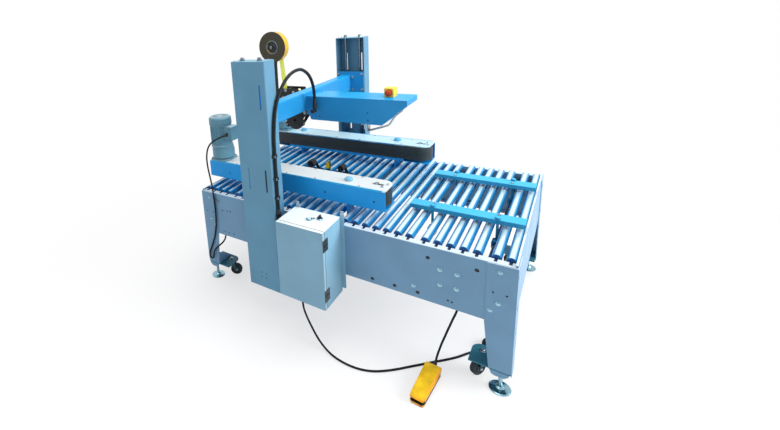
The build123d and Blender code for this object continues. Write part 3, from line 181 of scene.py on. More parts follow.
X, Y, Z = range(3)
# the box's and door's upward faces are painted near white: painted light from above
BOX_TOP_PAINTED_LIGHT = (0.74, 0.80, 0.80)
M = {
    # painted steel
    # each top colour below paints light from above on the upward faces
    "frame": material("frame_paint", (0.136, 0.268, 0.410), 0.42, painted_upward_light=(0.56, 0.66, 0.74), bump=0.12,
                      spec=0.25, wear=(0.17, 0.31, 0.46),
                      zones=((Z, 0.1035, 0.1105, (0.028, 0.150, 0.210)),)),
    "box": material("box_paint", (0.205, 0.395, 0.530), 0.40, painted_upward_light=BOX_TOP_PAINTED_LIGHT, bump=0.12, spec=0.25),
    # the door, the box's front face, takes a darker copy of the box paint: painted shade
    "door": material("door_shaded_paint", (0.180, 0.345, 0.465), 0.38, painted_upward_light=BOX_TOP_PAINTED_LIGHT, bump=0.12, spec=0.25),
    "column": material("column_paint", (0.104, 0.258, 0.388), 0.42, painted_upward_light=(0.19, 0.38, 0.50),
                       bump=0.12, spec=0.25, wear=(0.12, 0.28, 0.41)),
    "cover": material("cover_paint", (0.012, 0.290, 0.700), 0.36, vary=0.05, bump=0.06, spec=0.2),
    "white": material("plate_paint", (0.59, 0.63, 0.63), 0.36, vary=0.04, bump=0.06, spec=0.2,
                      zones=((Z, 0.7862, 0.90, (0.18, 0.40, 0.56)),)),
    # the far drive plate, white like the near one, takes a darker, bluer copy of its paint, knobs
    # included: painted shade
    "cyan": material("far_plate_shaded_paint", (0.42, 0.62, 0.70), 0.36, vary=0.04, bump=0.06, spec=0.2,
                     zones=((Z, 0.7862, 0.90, (0.10, 0.34, 0.56)),)),
    "head": material("head_paint", (0.018, 0.252, 0.560), 0.34, vary=0.05,
                     painted_upward_light=(0.006, 0.330, 0.680), bump=0.05, spec=0.2),
    "rail": material("rail_paint", (0.025, 0.260, 0.470), 0.36, painted_upward_light=(0.040, 0.420, 0.680),
                     bump=0.05, spec=0.2),
    "motor": material("motor_paint", (0.105, 0.250, 0.335), 0.42, bump=0.25, grain=500, spec=0.25,
                      painted_upward_light=(0.32, 0.48, 0.56), wear=(0.14, 0.29, 0.38)),
    "edge": material("edge_paint", (0.030, 0.360, 0.680), 0.3, vary=0.06, cloud=40, bump=0.05,
                     spec=0.2),
    # pale paints a highlight on edges that face the light
    "pale": material("painted_highlight_edge", (0.30, 0.46, 0.56), 0.35, vary=0.06, cloud=30, bump=0.1),
    "black": material("black_paint", (0.012, 0.015, 0.018), 0.35, vary=0.3, cloud=40, bump=0.15),
    # bare and plated metal
    # the rollers' pale crown colour paints a highlight along their tops
    "zinc": material("roller_finish_painted_highlight", (0.012, 0.270, 0.580), 0.22, 0.5, vary=0.14, cloud=30,
                     bump=0.05, streak=(1, 0.12, 1), crown=(0.66, 0.86, 0.93),
                     zones=((Y, 0.5148, 0.6, (0.006, 0.030, 0.100)),)),
    "steel": material("ground_steel", (0.34, 0.38, 0.41), 0.32, 1.0, vary=0.12, cloud=40,
                      bump=0.08),
    "rod": material("guide_rod", (0.16, 0.22, 0.27), 0.24, 1.0, vary=0.12, cloud=40, bump=0.05),
    "chrome": material("plated_steel", (0.27, 0.46, 0.54), 0.18, 1.0, vary=0.08, cloud=20,
                       bump=0.02),
    "latch": material("latch_metal", (0.060, 0.075, 0.080), 0.35, 0.6, vary=0.2, cloud=60,
                      bump=0.1),
    "castor": material("pressed_steel", (0.030, 0.085, 0.110), 0.36, 0.5, vary=0.15, cloud=60,
                       bump=0.1),
    "alloy": material("turned_alloy", (0.46, 0.50, 0.53), 0.3, 1.0, vary=0.08, cloud=50, bump=0.1),
    # rubber, plastic and tape
    "belt": material("belt_rubber", (0.022, 0.030, 0.034), 0.5, vary=0.3, cloud=25, grain=1600,
                     bump=0.4, streak=(0.08, 0.08, 1.0)),
    "rubber": material("black_rubber", (0.012, 0.013, 0.015), 0.6, vary=0.3, cloud=60, bump=0.3),
    "tyre": material("wheel_rubber", (0.016, 0.026, 0.034), 0.5, vary=0.2, cloud=60, bump=0.25),
    "olive": material("olive_rubber", (0.20, 0.22, 0.08), 0.5, vary=0.15, cloud=60, bump=0.2),
    "cable": material("cable_sheath", (0.006, 0.009, 0.010), 0.52, vary=0.4, cloud=60, grain=700,
                      bump=0.12, spec=0.15),
    "hose": material("hose_sheath", (0.008, 0.011, 0.013), 0.46, vary=0.3, cloud=60, bump=0.05,
                     spec=0.18),
    "dark": material("dark_cap", (0.012, 0.022, 0.034), 0.45, vary=0.3, cloud=80, bump=0.1),
    "navy": material("bearing_cap", (0.006, 0.070, 0.260), 0.4, vary=0.15, cloud=80, bump=0.1),
    "strip": material("blue_screen", (0.008, 0.220, 0.640), 0.35, vary=0.1, cloud=40, bump=0.1),
    "yellow": material("yellow_plastic", (0.920, 0.640, 0.030), 0.38, vary=0.06, cloud=18,
                       bump=0.12),
    # the pedal's top colour paints light from above on its upward faces
    "pedal": material("pedal_plastic", (0.780, 0.330, 0.008), 0.45, vary=0.30, cloud=24, bump=0.5,
                      grain=420, painted_upward_light=(0.98, 0.60, 0.014), spec=0.2),
    "red": material("red_plastic", (0.520, 0.045, 0.008), 0.3, vary=0.12, cloud=60, bump=0.05),
    "grey": material("grey_plastic", (0.52, 0.66, 0.70), 0.4, vary=0.08, cloud=60, bump=0.1),
    "cream": material("cream_nylon", (0.66, 0.64, 0.40), 0.45, vary=0.08, cloud=60, bump=0.1),
    "green": material("terminal_green", (0.02, 0.16, 0.06), 0.45, vary=0.1, cloud=60, bump=0.1),
    "tape": material("amber_tape", (0.620, 0.370, 0.030), 0.25, vary=0.12, cloud=30, bump=0.05,
                     ring=(240.0, 0.5), zones=((Y, 0.0239, 0.06, (0.040, 0.036, 0.018)),)),
    "web": material("tape_web", (0.420, 0.450, 0.055), 0.2, vary=0.1, cloud=40, bump=0.03),
}

# each castor's place on the bed and the way it trails, in degrees
CASTORS = {"near_right": (735, -470, 239), "near_left": (-735, -470, 30),
           "far_right": (735, 470, 128), "far_left": (-735, 470, 205)}
PAINTED = {
    "frame": ("near_side_plate", "far_side_plate", "end_frames", "bed_members"),
    "column": ("near_column", "far_column"),
    "box": ("control_box",),
    "door": ("control_box_door",),
    "cover": ("near_drive_cover", "far_drive_cover"),
    "white": ("near_drive_plate",),
    "cyan": ("far_drive_plate",),
    "head": ("cross_beam", "head_body", "lift_carriages"),
    "rail": ("near_guide_rail", "far_guide_rail"),
    "motor": ("near_gearmotor", "far_gearmotor"),
    "zinc": ("bed_rollers",),
    "rod": ("guide_shafts",),
    "steel": ("lower_tape_frame", "pressure_skid"),
    "chrome": ("levelling_feet",),
    "latch": ("upper_door_latch", "lower_door_latch"),
    "belt": ("near_drive_belt", "far_drive_belt"),
    "alloy": ("near_drive_pulley", "far_drive_pulley", "near_idler_pulley", "far_idler_pulley"),
    "black": ("upper_tape_frame", "upper_front_arm", "upper_rear_arm", "lower_front_arm",
              "lower_rear_arm", "lower_knife_arm", "selector_knob", "mains_plug",
              "foot_switch_base"),
    "tape": ("upper_tape_roll", "lower_tape_roll"),
    "yellow": ("estop_box",),
    "red": ("estop_button",),
    "grey": ("start_button",),
    "pedal": ("foot_pedal",),
    "castor": [corner + "_castor_fork" for corner in CASTORS],
    "tyre": [corner + "_castor_wheel" for corner in CASTORS],
}
for key, names in PAINTED.items():
    for name in names:
        for slot in nodes[name].material_slots:
            slot.material = M[key]


# ------------------------------------------------------------------ mesh helpers
def to_object(name, bm, key, body, bevel=0.0):
    """The bmesh, in millimetres, as a piece in metres that rides on a body."""
    mesh = bpy.data.meshes.new(name)
    bmesh.ops.scale(bm, vec=(MM, MM, MM), verts=bm.verts)
    bmesh.ops.recalc_face_normals(bm, faces=bm.faces)
    bm.to_mesh(mesh)
    bm.free()
    ob = bpy.data.objects.new(name, mesh)
    scene.collection.objects.link(ob)
    mesh.materials.append(M[key])
    mesh.shade_smooth()
    mesh.set_sharp_from_angle(angle=radians(35))
    if bevel:
        mod = ob.modifiers.new("bevel", "BEVEL")
        mod.width = bevel * MM
        mod.segments = 2
        mod.limit_method = "ANGLE"
    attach(ob, body)
    return ob


def frame_of(normal):
    """Rotation that takes +Z to the normal."""
    return Vector(UP).rotation_difference(Vector(normal)).to_matrix().to_4x4()


def at_height(z):
    return Matrix.Translation((0, 0, z))


def lathe(bm, profile, at, axis, steps):
    """Adds the (radius, height) profile spun about an axis through a point."""
    place = Matrix.Translation(at) @ frame_of(axis)
    rings = []
    for r, h in profile:
        turns = [2 * pi * i / steps for i in range(steps)] if r else [0.0]
        rings.append([bm.verts.new(place @ Vector((r * cos(a), r * sin(a), h))) for a in turns])
    for a, b in zip(rings, rings[1:]):
        for i in range(steps):
            j = (i + 1) % steps
            if len(a) == 1 and len(b) > 1:
                bm.faces.new((a[0], b[j], b[i]))
            elif len(b) == 1 and len(a) > 1:
                bm.faces.new((a[i], a[j], b[0]))
            elif len(a) > 1:
                bm.faces.new((a[i], a[j], b[j], b[i]))


def slab(bm, outline, place, depth):
    """Adds a flat outline pushed along its normal; place maps its own axes to the part's."""
    low = [bm.verts.new(place @ Vector((u, v, 0))) for u, v in outline]
    high = [bm.verts.new(place @ Vector((u, v, depth))) for u, v in outline]
    bm.faces.new(low)
    bm.faces.new(list(reversed(high)))
    for i in range(len(low)):
        j = (i + 1) % len(low)
        bm.faces.new((low[i], high[i], high[j], low[j]))


def brick(bm, x0, x1, y0, y1, z0, z1):
    y0, y1 = sorted((y0, y1))
    slab(bm, [(x0, y0), (x1, y0), (x1, y1), (x0, y1)], at_height(z0), z1 - z0)


def turned(name, key, body, *turns):
    """Piece of turned shapes, each given as lathe takes it."""
    bm = bmesh.new()
    for turn in turns:
        lathe(bm, *turn)
    to_object(name, bm, key, body)


def bricks(name, key, body, boxes, bevel=0.0):
    """Piece of boxes, each given as brick takes it."""
    bm = bmesh.new()
    for box in boxes:
        brick(bm, *box)
    to_object(name, bm, key, body, bevel)


def bolts(name, key, body, r, tall, spots, hexagon=True):
    """Washers with six-sided or round heads, of radius r; spots are (point, normal)."""
    washer = 1.6
    steps, rim, crown = (6, 0.8, 0.88) if hexagon else (18, min(2.2, tall * 0.7), 0.6)
    bm = bmesh.new()
    for at, normal in spots:
        lathe(bm, [(0, 0), (r * 1.45, 0), (r * 1.45, 1.2), (r * 1.3, washer), (0, washer)], at,
              normal, 20)
        lathe(bm, [(0, 0), (r, 0), (r, tall - rim), (r * crown, tall), (0, tall)],
              Vector(at) + Vector(normal) * washer, normal, steps)
    to_object(name, bm, key, body)


def ball(r):
    """Profile of a ball, from pole to pole."""
    arc = [-pi / 2 + pi * k / 10 for k in range(1, 10)]
    return [(0, -r)] + [(r * cos(a), r * sin(a)) for a in arc] + [(0, r)]


# a slab's own axes on the part's: its normal along Y, and along X
FACING_Y = Matrix(((1, 0, 0, 0), (0, 0, 1, 0), (0, 1, 0, 0), (0, 0, 0, 1)))
FACING_X = Matrix(((0, 0, 1, 0), (1, 0, 0, 0), (0, 1, 0, 0), (0, 0, 0, 1)))


# ------------------------------------------------------------------ cords
def meters(p):
    return tuple(v * MM for v in p)


def route_curve(name, points, diameter, key):
    """NURBS curve along the route's points, with the cord's thickness."""
    data = bpy.data.curves.new(name, "CURVE")
    data.dimensions = "3D"
    data.bevel_depth = diameter / 2 * MM
    data.bevel_resolution = 5
    data.resolution_u = 8
    data.use_fill_caps = True
    spline = data.splines.new("NURBS")
    spline.points.add(len(points) - 1)
    for point, at in zip(spline.points, points):
        point.co = (*meters(at), 1)
    spline.order_u = 3
    spline.use_endpoint_u = True
    data.materials.append(M[key])
    ob = bpy.data.objects.new(name, data)
    scene.collection.objects.link(ob)
    return ob


def line_of(curve):
    """Points of the curve's own line, read without its thickness, which is put back."""
    depth, curve.data.bevel_depth = curve.data.bevel_depth, 0.0
    mesh = bpy.data.meshes.new_from_object(curve)
    curve.data.bevel_depth = depth
    points = [v.co.copy() for v in mesh.vertices]
    bpy.data.meshes.remove(mesh)
    return points


def lead(name, points, diameter, key, bodies, cad, span=None, **facts):
    """Cord as a tube along its route, in place of the CAD pieces it hides.  Without a span it rides
    on the first body; with one it rides on none, and the span's points are not used.
    """
    curve = route_curve(name + "_route", points, diameter, key)
    line = line_of(curve)
    mesh = bpy.data.meshes.new_from_object(curve)
    bpy.data.objects.remove(curve)
    mesh.name = name
    mesh.shade_smooth()
    ob = bpy.data.objects.new(name, mesh)
    scene.collection.objects.link(ob)
    if span:
        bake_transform(ob)
    else:
        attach(ob, bodies[0])
    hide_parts(*cad)


LYING = 5.45        # height of the mains lead's centre where it lies on the floor
mains_route = [(-60, -695, 222), (-60, -695, 190), (-53, -700, 155), (-29, -708, 115),
               (3, -718, 75), (38, -730, 40), (80, -745, 17), (130, -762, LYING + 1),
               (184, -773, LYING), (240, -775, LYING), (293, -765, LYING), (342, -742, LYING),
               (388, -705, LYING), (430, -664, LYING), (470, -620, LYING), (511, -577, LYING),
               (551, -534, LYING), (592, -492, LYING), (632, -446, LYING), (660, -403, LYING),
               (683, -374, LYING), (714, -356, LYING)]
switch_route = [(635, -518, 345), (635, -518, 321), (629, -525, 297), (620, -534, 271),
                (611, -538, 240), (601, -538, 206), (590, -537, 166), (578, -538, 125),
                (570, -540, 91), (562.7, -547.9, 60.2), (561.35, -568.86, 39.2)]
motor_route = [(-712, -430, 962), (-712, -470, 962), (-727, -507, 955), (-756, -527, 935),
               (-783, -531, 900), (-798, -531, 859), (-801, -534, 817), (-791, -542, 774),
               (-773, -553, 732), (-756, -562, 688), (-747, -566, 640), (-744, -567, 587),
               (-743, -566, 532), (-744, -566, 477), (-748, -566, 424), (-757, -566, 372),
               (-770, -566, 324), (-785, -566, 284), (-802, -566, 247), (-817, -566, 216),
               (-829, -567, 190), (-836, -568, 168), (-832, -570, 151), (-814, -572, 145),
               (-798, -573, 154), (-793, -574, 176), (-787, -574, 202), (-772, -573, 226),
               (-753, -565, 246), (-736, -551, 262), (-723, -532, 281), (-720, -516, 311),
               (-720, -516, 345)]
CONDUIT_X = -213.7
hose_route = [(CONDUIT_X, -634, 636), (CONDUIT_X, -634, 1010), (CONDUIT_X + 0.4, -624, 1100),
              (CONDUIT_X + 1, -606, 1190), (-212, -570, 1258), (-210, -508, 1325),
              (-208, -432, 1362), (-206, -350, 1368), (-209, -296, 1350), (-214, -240, 1318),
              (-228, -186, 1275), (-246, -138, 1230), (-258, -108, 1178), (-258, -108, 1118)]

# The mains lead's spare length is coiled behind the right leg, two lanes wide and three layers
# high.  Near the end of a turn it moves over to the other lane, and near the end of the next one
# back and up.  The moves' starts and length are in turns.
COIL_AT, COIL_START, LANES, LAYER = (768, -303), 0.62 * pi, (57.75, 47.0), 9.0
PER_TURN, MOVES_OVER, MOVES_BACK, MOVE = 20, 0.85, 1.85, 0.3


def moved(turn, start):
    """Share of a move that is done, from 0 to 1."""
    return min(1.0, max(0.0, (turn - start) / MOVE))


coil = []
for i in range(6 * PER_TURN + PER_TURN // 4 + 1):
    turn = i / PER_TURN
    a = 2 * pi * turn - COIL_START
    layer, step = divmod(turn, 2.0)
    r = LANES[0] + (LANES[1] - LANES[0]) * (moved(step, MOVES_OVER) - moved(step, MOVES_BACK))
    lift = min(2.0, layer + moved(step, MOVES_BACK))
    coil.append((COIL_AT[0] + r * cos(a), COIL_AT[1] + r * sin(a), LYING + LAYER * lift))
plug_tail = [(818, -256, 20), (803, -240, 15), (786, -230, 12.5), (774, -222, 12)]

lead("mains_lead_cord", mains_route + coil + plug_tail, 10.5, "cable", ("frame",),
     ("mains_lead", "mains_coil"), far_end="plug", stiffness="medium", lay="coiled",
     with_pieces=[nodes["mains_plug"]])
lead("foot_switch_lead", switch_route, 9.5, "cable", ("frame",), ("foot_switch_cord",),
     far_end="object", stiffness="medium", lay="loose")
lead("motor_lead", motor_route, 10.0, "cable", ("near_drive", "frame"), ("near_motor_lead",),
     ((-750, -560, 860), (-750, -560, 560)), far_end="object", stiffness="medium", lay="hanging")
lead("head_hose", hose_route, 18.0, "hose", ("frame", "head"), ("head_conduit",),
     ((-230, -634, 1100), (-230, -108, 1100)), far_end="object", stiffness="stiff", lay="loose")

# ------------------------------------------------------------------ bed details
# 31 rows of rollers; a wider step leaves room for a bracket, and the tape head splits some rows
ROLLER_Z, ROLLER_END, SPLIT_END, SPLIT_ROWS = 612, 512, 80, range(17, 24)
STEP, WIDE_STEP, WIDE_AFTER = 52.5, 69.0, (2, 7, 14, 27)
rows, x = [], 822.0
while x > -823:
    rows.append(x)
    x -= WIDE_STEP if len(rows) in WIDE_AFTER else STEP
bm = bmesh.new()
for i, x in enumerate(rows):
    ends = [(-ROLLER_END, -1), (ROLLER_END, 1)]
    if i in SPLIT_ROWS:
        ends += [(-SPLIT_END, 1), (SPLIT_END, -1)]
    for y, s in ends:
        lathe(bm, [(7, 0.2), (16.6, 0.2), (17.6, 0.9), (17.6, 1.3), (12, 1.9), (7, 1.9)],
              (x, y, ROLLER_Z), (0, s, 0), 20)
to_object("roller_end_caps", bm, "navy", "frame")

bm = bmesh.new()
for s in BOTH:
    for x, z in ((515, 559), (708, 560), (261, 363), (369, 364), (474, 366)):
        lathe(bm, [(0, 0), (8.9, 0), (8.9, 2.6), (6.5, 3.2), (0, 3.2)], (x, s * 550.4, z),
              (0, s, 0), 24)
    for x in (-345, -313):
        for z in (222, 249):
            lathe(bm, [(0, 0), (3.9, 0), (3.9, 2), (0, 2)], (x, s * 654.2, z), (0, s, 0), 12)
to_object("hole_plugs", bm, "dark", "frame")

PLATE_Y, LEG_Y, END_X = 555, 558, 853       # outer faces of side plates, legs and end frames
member_bolts, leg_bolts, small_bolts, end_screws = [], [], [], []
for s in BOTH:
    member_bolts += [((x, s * PLATE_Y, z), (0, s, 0)) for x, z in
                     ((565, 515), (634, 513), (567, 440), (634, 442), (455, 396))]
    leg_bolts += [((end * x, s * LEG_Y, z), (0, s, 0)) for end in BOTH for x, z in
                  ((791, 580), (790, 434), (762, 394))]
    small_bolts += [((x, s * PLATE_Y, z), (0, s, 0)) for x, z in
                    ((602, 374), (618, 371), (-693, 508), (-627, 516), (-690, 367), (-618, 362),
                     (-655, 512), (-655, 364))]
    small_bolts += [((end * x, s * LEG_Y, z), (0, s, 0)) for end in BOTH for x, z in
                    ((770, 482), (819, 481))]
    end_screws += [((end * END_X, s * y, z), (end, 0, 0)) for end in BOTH for y, z in
                   ((518, 556), (509, 409), (517, 300))]
bolts("member_bolts", "chrome", "frame", 7.2, 5.5, member_bolts)
bolts("leg_bolts", "chrome", "frame", 6.5, 5.0, leg_bolts)
bolts("end_screws", "chrome", "frame", 6.5, 0.7, end_screws, hexagon=False)
bolts("small_bolts", "dark", "frame", 2.6, 2.4, small_bolts, hexagon=False)
bolts("castor_nuts", "steel", "frame", 9.0, 8.0,
      [((x, y, 110.2), UP) for x in (-735, 735) for y in (-470, 470)])


# ------------------------------------------------------------------ columns, lift and beam
def slot_strip(name, key, x, z, tall, screws):
    """Strip behind a slot of the near column, held by a screw near each end."""
    inner, outer = -650.8, -652.6
    bm = bmesh.new()
    brick(bm, x, x + 18, outer, inner, z, z + tall)
    for screw in screws:
        lathe(bm, [(0, 0), (3.5, 0), (3.5, 1.5), (2, 2.4), (0, 2.4)], (x + 9, inner, screw),
              TO_FAR, 12)
    to_object(name, bm, key, "frame")


slot_strip("slot_screen", "strip", -270, 1196, 150, (1200, 1342))
# slot_shade is a dark strip behind the lower slot that paints the shade seen through it
slot_strip("slot_shade", "dark", -272, 745, 144, (750, 884))
bolts("column_cap_bolts", "steel", "frame", 4.5, 3.5,
      [((x, s * y, 1450), UP) for s in BOTH for x in (-420, -238) for y in (590, 640)])
bolts("column_pad_bolts", "steel", "frame", 7.0, 6.0,
      [((x, s * 551, z), (0, -s, 0)) for s in BOTH for x in (-400, -258) for z in (380, 540)])
carriage_bolts = [((x, s * 556, z), (0, -s, 0)) for s in BOTH for x in (-420, -240)
                  for z in (1080, 1190)]
carriage_bolts += [((-310, s * 556, z), (0, -s, 0)) for s in BOTH for z in (1080, 1168)]
bolts("carriage_bolts", "steel", "head", 7.0, 6.0, carriage_bolts)
wiper = [(10.4, 0), (17, 0), (17, 5), (13, 7), (10.4, 7)]
turned("rod_wipers", "rubber", "head",
       *((wiper, (x, s * 618, z), way, 24) for s in BOTH for z, way in ((1068, DOWN), (1194, UP))
         for x in (-383, -275)))
bm = bmesh.new()
for z in (728, 835, 959):
    slab(bm, [(-223.4, -646.8), (-207, -646.8), (-201.6, -641), (-201.6, -627), (-207, -621.2),
              (-223.4, -621.2)], at_height(z - 7), 14)
    lathe(bm, [(0, 0), (3.4, 0), (3.4, 1.2), (2.2, 2.2), (0, 2.2)], (-201.6, -634, z), TO_INFEED,
          12)
to_object("conduit_bands", bm, "black", "frame")

# ------------------------------------------------------------------ conduit glands
ELBOW, HEAD_ELBOW = (CONDUIT_X, -634, 596), (-258, -108, 1078)
turned("head_gland", "black", "head",
       ([(0, 0), (9.6, 0), (9.6, -14), (13, -15), (13, -27), (11, -28.5), (0, -28.5)],
        (-258, -116.5, 1078), TO_FAR, 28),
       (ball(10.6), HEAD_ELBOW, UP, 28),
       ([(9.4, 2), (10.8, 2), (10.8, 16), (13.6, 17), (13.6, 29), (12.6, 31), (12.6, 40), (11, 62),
         (9.3, 66)], HEAD_ELBOW, UP, 28))
turned("box_conduit_gland", "black", "frame",
       ([(9.4, -30), (13.5, -30), (13.5, -17), (10.8, -15), (10.8, 15)], (CONDUIT_X, -634, 618),
        UP, 28),
       (ball(10.6), ELBOW, UP, 28),
       ([(9.4, 2), (10.8, 2), (10.8, 36), (13.4, 38), (13.4, 47), (12, 49), (10, 68), (9.3, 70)],
        ELBOW, UP, 28),
       ([(9.4, 2), (10.8, 2), (10.8, 40), (14, 41), (14, 52.5), (9.4, 52.5)], ELBOW, TO_INFEED,
        28))

# ------------------------------------------------------------------ head and emergency stop
head_screws = [((x, s * 88.5, z), (0, s, 0)) for s in BOTH for x, z in
               ((61, 1080), (63, 1036), (-240, 1040), (-300, 1140))]
head_screws += [((-300, y, 1160), UP) for y in (-70, 70)]
bolts("head_screws", "dark", "head", 3.0, 2.4, head_screws, hexagon=False)
bolts("skid_bolts", "steel", "head", 5.0, 5.0, [((34, s * 62, 1007), DOWN) for s in BOTH])

STOP_X, STOP_FACE, STOP_Z = 155, -14, 1185      # the button's axis on the box's near face
STOP_Y = 14                                     # the middle of the box, across the machine
turned("estop_collar", "dark", "head",
       ([(15.2, 0), (19, 0), (19, 1.6), (17.5, 2.6), (15.2, 2.6), (15.2, 0)],
        (STOP_X, STOP_FACE, STOP_Z), TO_NEAR, 36))
half, thin, short = 28.017, 27.324, 21.78       # the seam's outer and inner edge and short sides
bricks("estop_seam", "dark", "head",
       [(STOP_X + x0, STOP_X + x1, STOP_Y + y0, STOP_Y + y1, 1172.5, 1174) for x0, x1, y0, y1 in
        ((-half, half, -half, -thin), (-half, half, thin, half), (-half, -thin, -short, short),
         (thin, half, -short, short))])
bolts("estop_screws", "steel", "head", 2.4, 1.8,
      [((STOP_X + dx, STOP_FACE, STOP_Z + dz), TO_NEAR) for dx in (-21, 21) for dz in (-19, 19)],
      hexagon=False)


# ------------------------------------------------------------------ tape heads
def sleeve(name, key, body, x, z, r, half, bore=4.0):
    """Roller sleeve along Y with chamfered, slightly dished ends."""
    end = [(bore, half - 1.2), (r * 0.7, half - 0.6), (r - 1.2, half), (r, half - 1.4)]
    turned(name, key, body, ([(q, -h) for q, h in end] + end[::-1], (x, 0, z), TO_FAR, 36))


def roll_face(roll, x, z):
    """Side of a tape roll: pressed ring, hub dish and retaining nut."""
    turned(roll + "_rings", "rod", roll,
           ([(40, -0.2), (44, -0.2), (44, 0.9), (42, 1.5), (40, 0.9)], (x, -27, z), TO_NEAR, 48))
    turned(roll + "_hub", "black", roll,
           ([(8.6, 0), (36, 0), (36, 1.2), (20, 2.2), (14, 6), (8.6, 6)], (x, -18, z), TO_NEAR,
            40))
    bolts(roll + "_nut", "rod", roll, 7.0, 6.0, [((x, -36.2, z), TO_NEAR)])


FRONT, REAR = (-428, 948), (-510, 949)      # axles of the upper head's rollers, x and z
sleeve("upper_front_sleeve", "olive", "upper_front_arm_body", *FRONT, 18.8, 24.5)
sleeve("upper_rear_sleeve", "rubber", "upper_rear_arm_body", *REAR, 18.8, 24.5)
sleeve("guide_roll", "cream", "head", -541, 1125, 11.5, 36, 6.9)
sleeve("guide_roll_rear", "cream", "head", -442, 1168, 12.5, 34, 7.9)
sleeve("lower_front_sleeve", "rubber", "lower_front_arm_body", -147, 690, 20.2, 24.5)
sleeve("lower_rear_sleeve", "rubber", "lower_rear_arm_body", -358, 690, 22.8, 24.5)

# knobs and nuts
CHEEK = 46      # outer faces of the tape heads' side plates
turned("cassette_knobs", "red", "head",
       ([(0, 0), (11, 0), (11, 3), (7, 6), (0, 6)], (-585, -CHEEK, 1050), TO_NEAR, 24),
       ([(0, 0), (9, 0), (9, 3), (6, 5), (0, 5)], (-522, -CHEEK, 1135), TO_NEAR, 24))
for name, body, pivots in (
        ("upper_pivot_nuts", "head", ((-366, 1040), (-450, 1040), (-500, 1180), (-442, 1168))),
        ("lower_pivot_nuts", "frame", ((-118, 596), (-290, 575), (-250, 590), (-185, 500)))):
    bolts(name, "steel", body, 7.0, 5.0,
          [((x, s * CHEEK, z), (0, s, 0)) for s in BOTH for x, z in pivots])
for label, (x, z) in (("upper_front", FRONT), ("upper_rear", REAR)):
    bolts(label + "_axle_nuts", "steel", label + "_arm_body", 5.0, 3.4,
          [((x, s * 40, z), (0, s, 0)) for s in BOTH])

# round cheek of the upper head, which guards its arms, and its five rivets
ROUND_AT, ROUND_Y, RIVETS = (-437, 988), -48.6, 5
rivets = []
for k in range(RIVETS):
    a = 0.5 + 2 * pi * k / RIVETS
    rivets.append(([(0, 2.6), (5, 2.6), (5, 4.6), (3, 5.4), (0, 5.4)],
                   (ROUND_AT[0] + 36 * cos(a), ROUND_Y, ROUND_AT[1] + 36 * sin(a)), TO_NEAR, 12))
turned("cassette_cheek", "black", "head",
       ([(0, 0), (9, 0), (9, 4.4), (14, 4.4), (15, 2.6), (54, 2.6), (57, 3.8), (61, 3.8),
         (62, 2.6), (62, 0), (0, 0)], (ROUND_AT[0], ROUND_Y, ROUND_AT[1]), TO_NEAR, 56),
       *rivets)

# toothed knife with its yellow guard
TEETH, PITCH, BLADE = 11, 2.1, 11.5
teeth = [(-BLADE, 0)]
for k in range(TEETH):
    teeth += [(-BLADE + PITCH * k, 7), (-BLADE + PITCH / 2 + PITCH * k, 10)]
teeth += [(BLADE, 7), (BLADE, 0)]
bm = bmesh.new()
slab(bm, teeth, Matrix.Translation((-226.5, 0, 706)) @ FACING_X, 0.8)
to_object("knife_blade", bm, "chrome", "lower_knife")
bm = bmesh.new()
for y in (-14.2, 12.6):
    slab(bm, [(-13, 0), (12, 0), (13, 30), (4, 44), (-8, 40)],
         Matrix.Translation((-240, y, 674)) @ FACING_Y, 1.6)
to_object("knife_guard", bm, "yellow", "lower_knife")

roll_face("upper_roll", -596, 1457)
roll_face("lower_roll", -300, 370)

# tape drawn from the roll to the first guide roll, slightly curved across
bm = bmesh.new()
lines = []
for x, z in ((-546.3, 1374), (-545, 1352), (-541.5, 1310), (-538, 1266), (-534, 1222),
             (-530.5, 1178), (-529.2, 1140), (-529.4, 1126)):
    lines.append([bm.verts.new((x + 0.0016 * y * y, y, z)) for y in range(-24, 25, 6)])
for a, b in zip(lines, lines[1:]):
    for i in range(len(a) - 1):
        bm.faces.new((a[i], a[i + 1], b[i + 1], b[i]))
film = to_object("tape_web", bm, "web", "head").modifiers.new("film", "SOLIDIFY")
film.thickness = 0.5 * MM


# ------------------------------------------------------------------ belt drives
def spokes(bm, outline, x, y, z, count, depth, max_cos=1.0):
    """Adds the outline at equal turns round an upright axis, save turns with a larger cosine."""
    for k in range(count):
        a = 2 * pi * k / count
        if cos(a) <= max_cos:
            slab(bm, outline, Matrix.Translation((x, y, z)) @ Matrix.Rotation(a, 4, "Z"), depth)


